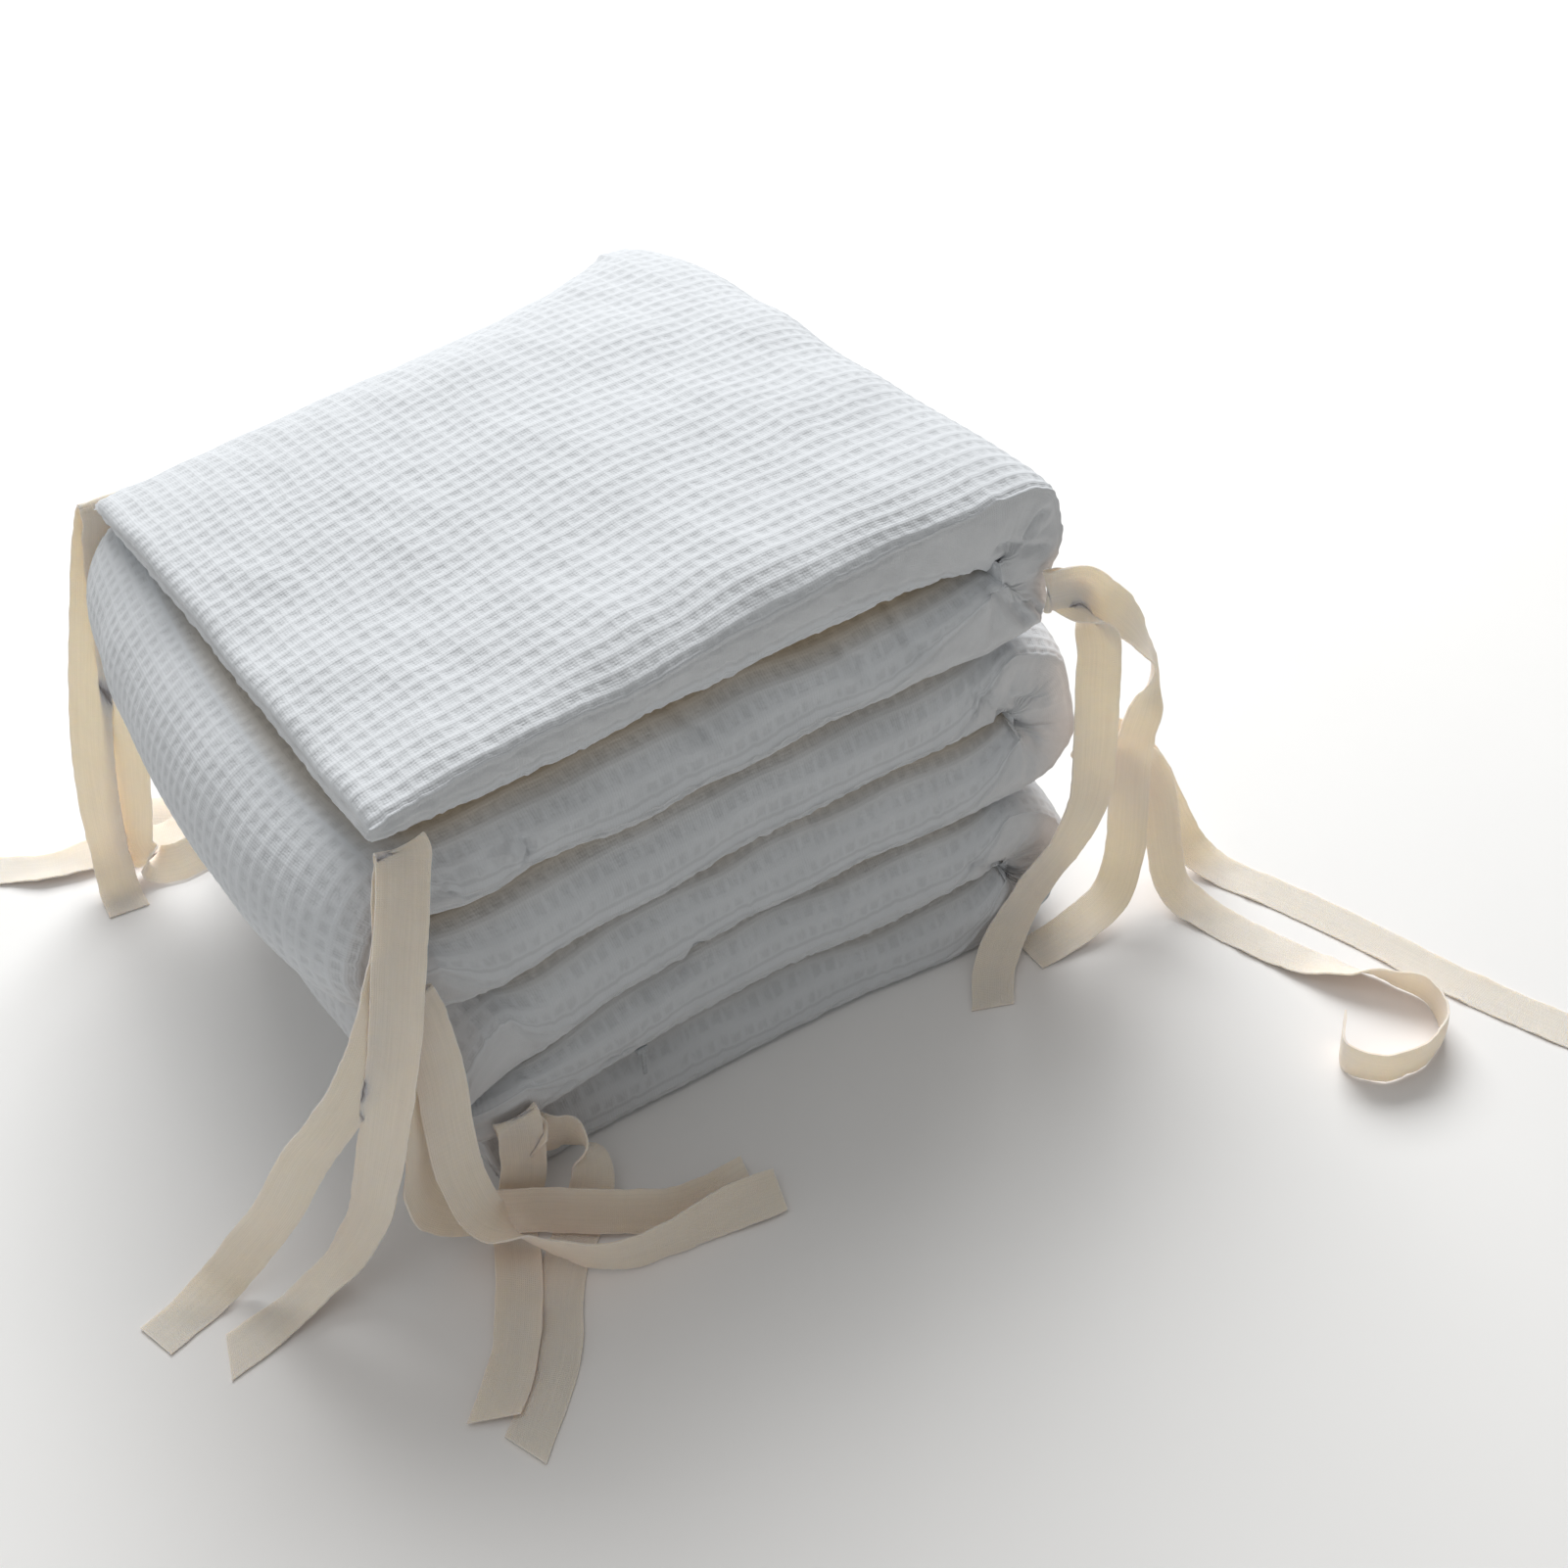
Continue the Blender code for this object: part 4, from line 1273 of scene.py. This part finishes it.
def make_tie(name, sizes, material, seed):
    """One tape folded at its root: a grid laid along its middle line, then thickened."""
    course = tape_course(TIES[name], sizes.steps)
    along = course[-1]
    steps = len(along) - 1
    bpy.ops.object.select_all(action="DESELECT")
    bpy.ops.mesh.primitive_grid_add(x_subdivisions=steps, y_subdivisions=TAPE_COLUMNS, size=2)
    piece = bpy.context.object
    piece.name = name + "_tape"
    mesh = piece.data
    mesh.name = piece.name
    grid = np.zeros(len(mesh.vertices) * 3)
    mesh.vertices.foreach_get("co", grid)
    grid = grid.reshape(-1, 3)
    step = np.round((grid[:, 0] + 1) / 2 * steps).astype(int)
    side = grid[:, 1]
    points = tape_points(sizes, seed, course, END_SLANTS[name], step, side)
    mesh.vertices.foreach_set("co", points.reshape(-1))
    while mesh.uv_layers:
        mesh.uv_layers.remove(mesh.uv_layers[0])
    cloth = np.stack((along[step], (side + 1) / 2 * sizes.width), axis=-1)[corner_points(mesh)]
    mesh.uv_layers.new(name="cloth").data.foreach_set("uv", cloth.reshape(-1))
    mesh.materials.append(material)
    mesh.shade_smooth()
    select_only(piece)
    thicken = piece.modifiers.new("Thickness", "SOLIDIFY")
    thicken.thickness = sizes.thickness
    thicken.offset = 0
    bpy.ops.object.modifier_apply(modifier=thicken.name)
    bpy.ops.object.shade_smooth_by_angle(angle=math.radians(50))
    piece.data.update()
    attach(piece, "root")
    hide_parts(name)
    return piece


class BUMPER_OT_tape_ties(bpy.types.Operator):
    """Make the seven doubled tape ties"""

    bl_idname = "bumper.tape_ties"
    bl_label = "Tape ties"

    def execute(self, context):
        sizes = context.scene.bumper_tape
        material = cotton_tape(sizes.tape_colour)
        for order, name in enumerate(TIES):
            make_tie(name, sizes, material, 100 + 10 * order)
        return {"FINISHED"}


class BUMPER_OT_zip_slider(bpy.types.Operator):
    """Give the zip's slider its finish"""

    bl_idname = "bumper.zip_slider"
    bl_label = "Zip slider"

    def execute(self, context):
        slider = bpy.data.objects["zip_slider"]
        material = coated_zinc(context.scene.bumper_zip.metal_colour)
        for slot in slider.material_slots:
            slot.material = material
        return {"FINISHED"}


def add_area(place, target, size, power):
    """A soft white rectangular light at a place, facing a target."""
    aim = (Vector(target) - Vector(place)).to_track_quat("-Z", "Y")
    bpy.ops.object.light_add(type="AREA", location=place, rotation=aim.to_euler())
    light = bpy.context.object.data
    light.shape = "RECTANGLE"
    light.size, light.size_y = size
    light.energy = power
    return bpy.context.object


def add_camera(focal_length):
    """The camera at the photo's viewing angle."""
    azimuth, elevation, roll = (math.radians(angle) for angle in CAMERA_ANGLES)
    level = math.cos(elevation)
    forward = Vector((-math.sin(azimuth) * level, math.cos(azimuth) * level, -math.sin(elevation)))
    right = Vector((math.cos(azimuth), math.sin(azimuth), 0))
    down = forward.cross(right)
    wide = right * math.cos(roll) + down * math.sin(roll)
    low = down * math.cos(roll) - right * math.sin(roll)
    bpy.ops.object.camera_add()
    camera = bpy.context.object
    camera.name = "photo_camera"
    turned = Matrix((wide, -low, -forward)).transposed().to_4x4()
    camera.matrix_world = Matrix.Translation(CAMERA_PLACE) @ turned
    camera.data.sensor_width = 36
    camera.data.lens = focal_length
    camera.data.clip_end = 50
    return camera


class BUMPER_OT_stage(bpy.types.Operator):
    """Add the pale floor, the soft lights and the camera"""

    bl_idname = "bumper.stage"
    bl_label = "Stage"

    def execute(self, context):
        scene = context.scene
        settings = scene.bumper_stage
        bpy.ops.object.select_all(action="DESELECT")
        bpy.ops.mesh.primitive_plane_add(size=9, location=(0, 0, 0))
        floor = bpy.context.object
        floor.name = "pale_floor"
        floor.data.materials.append(pale_floor(settings.floor_colour))
        for name, (place, target, size) in LIGHTS.items():
            add_area(place, target, size, getattr(settings, name))
        world = bpy.data.worlds.new("soft_sky")
        world.use_nodes = True
        sky = world.node_tree.nodes["Background"]
        sky.inputs["Color"].default_value = (*colour("#FBF9F6"), 1)
        sky.inputs["Strength"].default_value = settings.sky
        scene.world = world
        scene.view_settings.view_transform = "Standard"
        scene.camera = add_camera(settings.focal_length)
        return {"FINISHED"}


class BUMPER_PT_panel(bpy.types.Panel):
    """Crib bumper pieces and their sizes"""

    bl_label = "Crib Bumper"
    bl_idname = "BUMPER_PT_panel"
    bl_space_type = "VIEW_3D"
    bl_region_type = "UI"
    bl_category = "Crib Bumper"

    def draw(self, context):
        rows = (
            ("bumper.padded_strip", "bumper_pad"),
            ("bumper.tape_ties", "bumper_tape"),
            ("bumper.zip_slider", "bumper_zip"),
            ("bumper.stage", "bumper_stage"),
        )
        for operator, group in rows:
            box = self.layout.box()
            box.operator(operator)
            settings = getattr(context.scene, group)
            for name in settings.bl_rna.properties.keys():
                if name not in ("rna_type", "name"):
                    box.prop(settings, name)


GROUPS = (
    ("bumper_pad", BumperPadSettings),
    ("bumper_tape", BumperTapeSettings),
    ("bumper_zip", BumperZipSettings),
    ("bumper_stage", BumperStageSettings),
)
CLASSES = (
    BUMPER_OT_padded_strip,
    BUMPER_OT_tape_ties,
    BUMPER_OT_zip_slider,
    BUMPER_OT_stage,
    BUMPER_PT_panel,
)


def register():
    for name, group in GROUPS:
        bpy.utils.register_class(group)
        setattr(bpy.types.Scene, name, PointerProperty(type=group))
    for each in CLASSES:
        bpy.utils.register_class(each)


def unregister():
    for each in reversed(CLASSES):
        bpy.utils.unregister_class(each)
    for name, group in reversed(GROUPS):
        delattr(bpy.types.Scene, name)
        bpy.utils.unregister_class(group)


def main():
    register()
    bpy.ops.bumper.padded_strip()
    bpy.ops.bumper.tape_ties()
    bpy.ops.bumper.zip_slider()
    bpy.ops.bumper.stage()


if __name__ == "__main__":
    main()
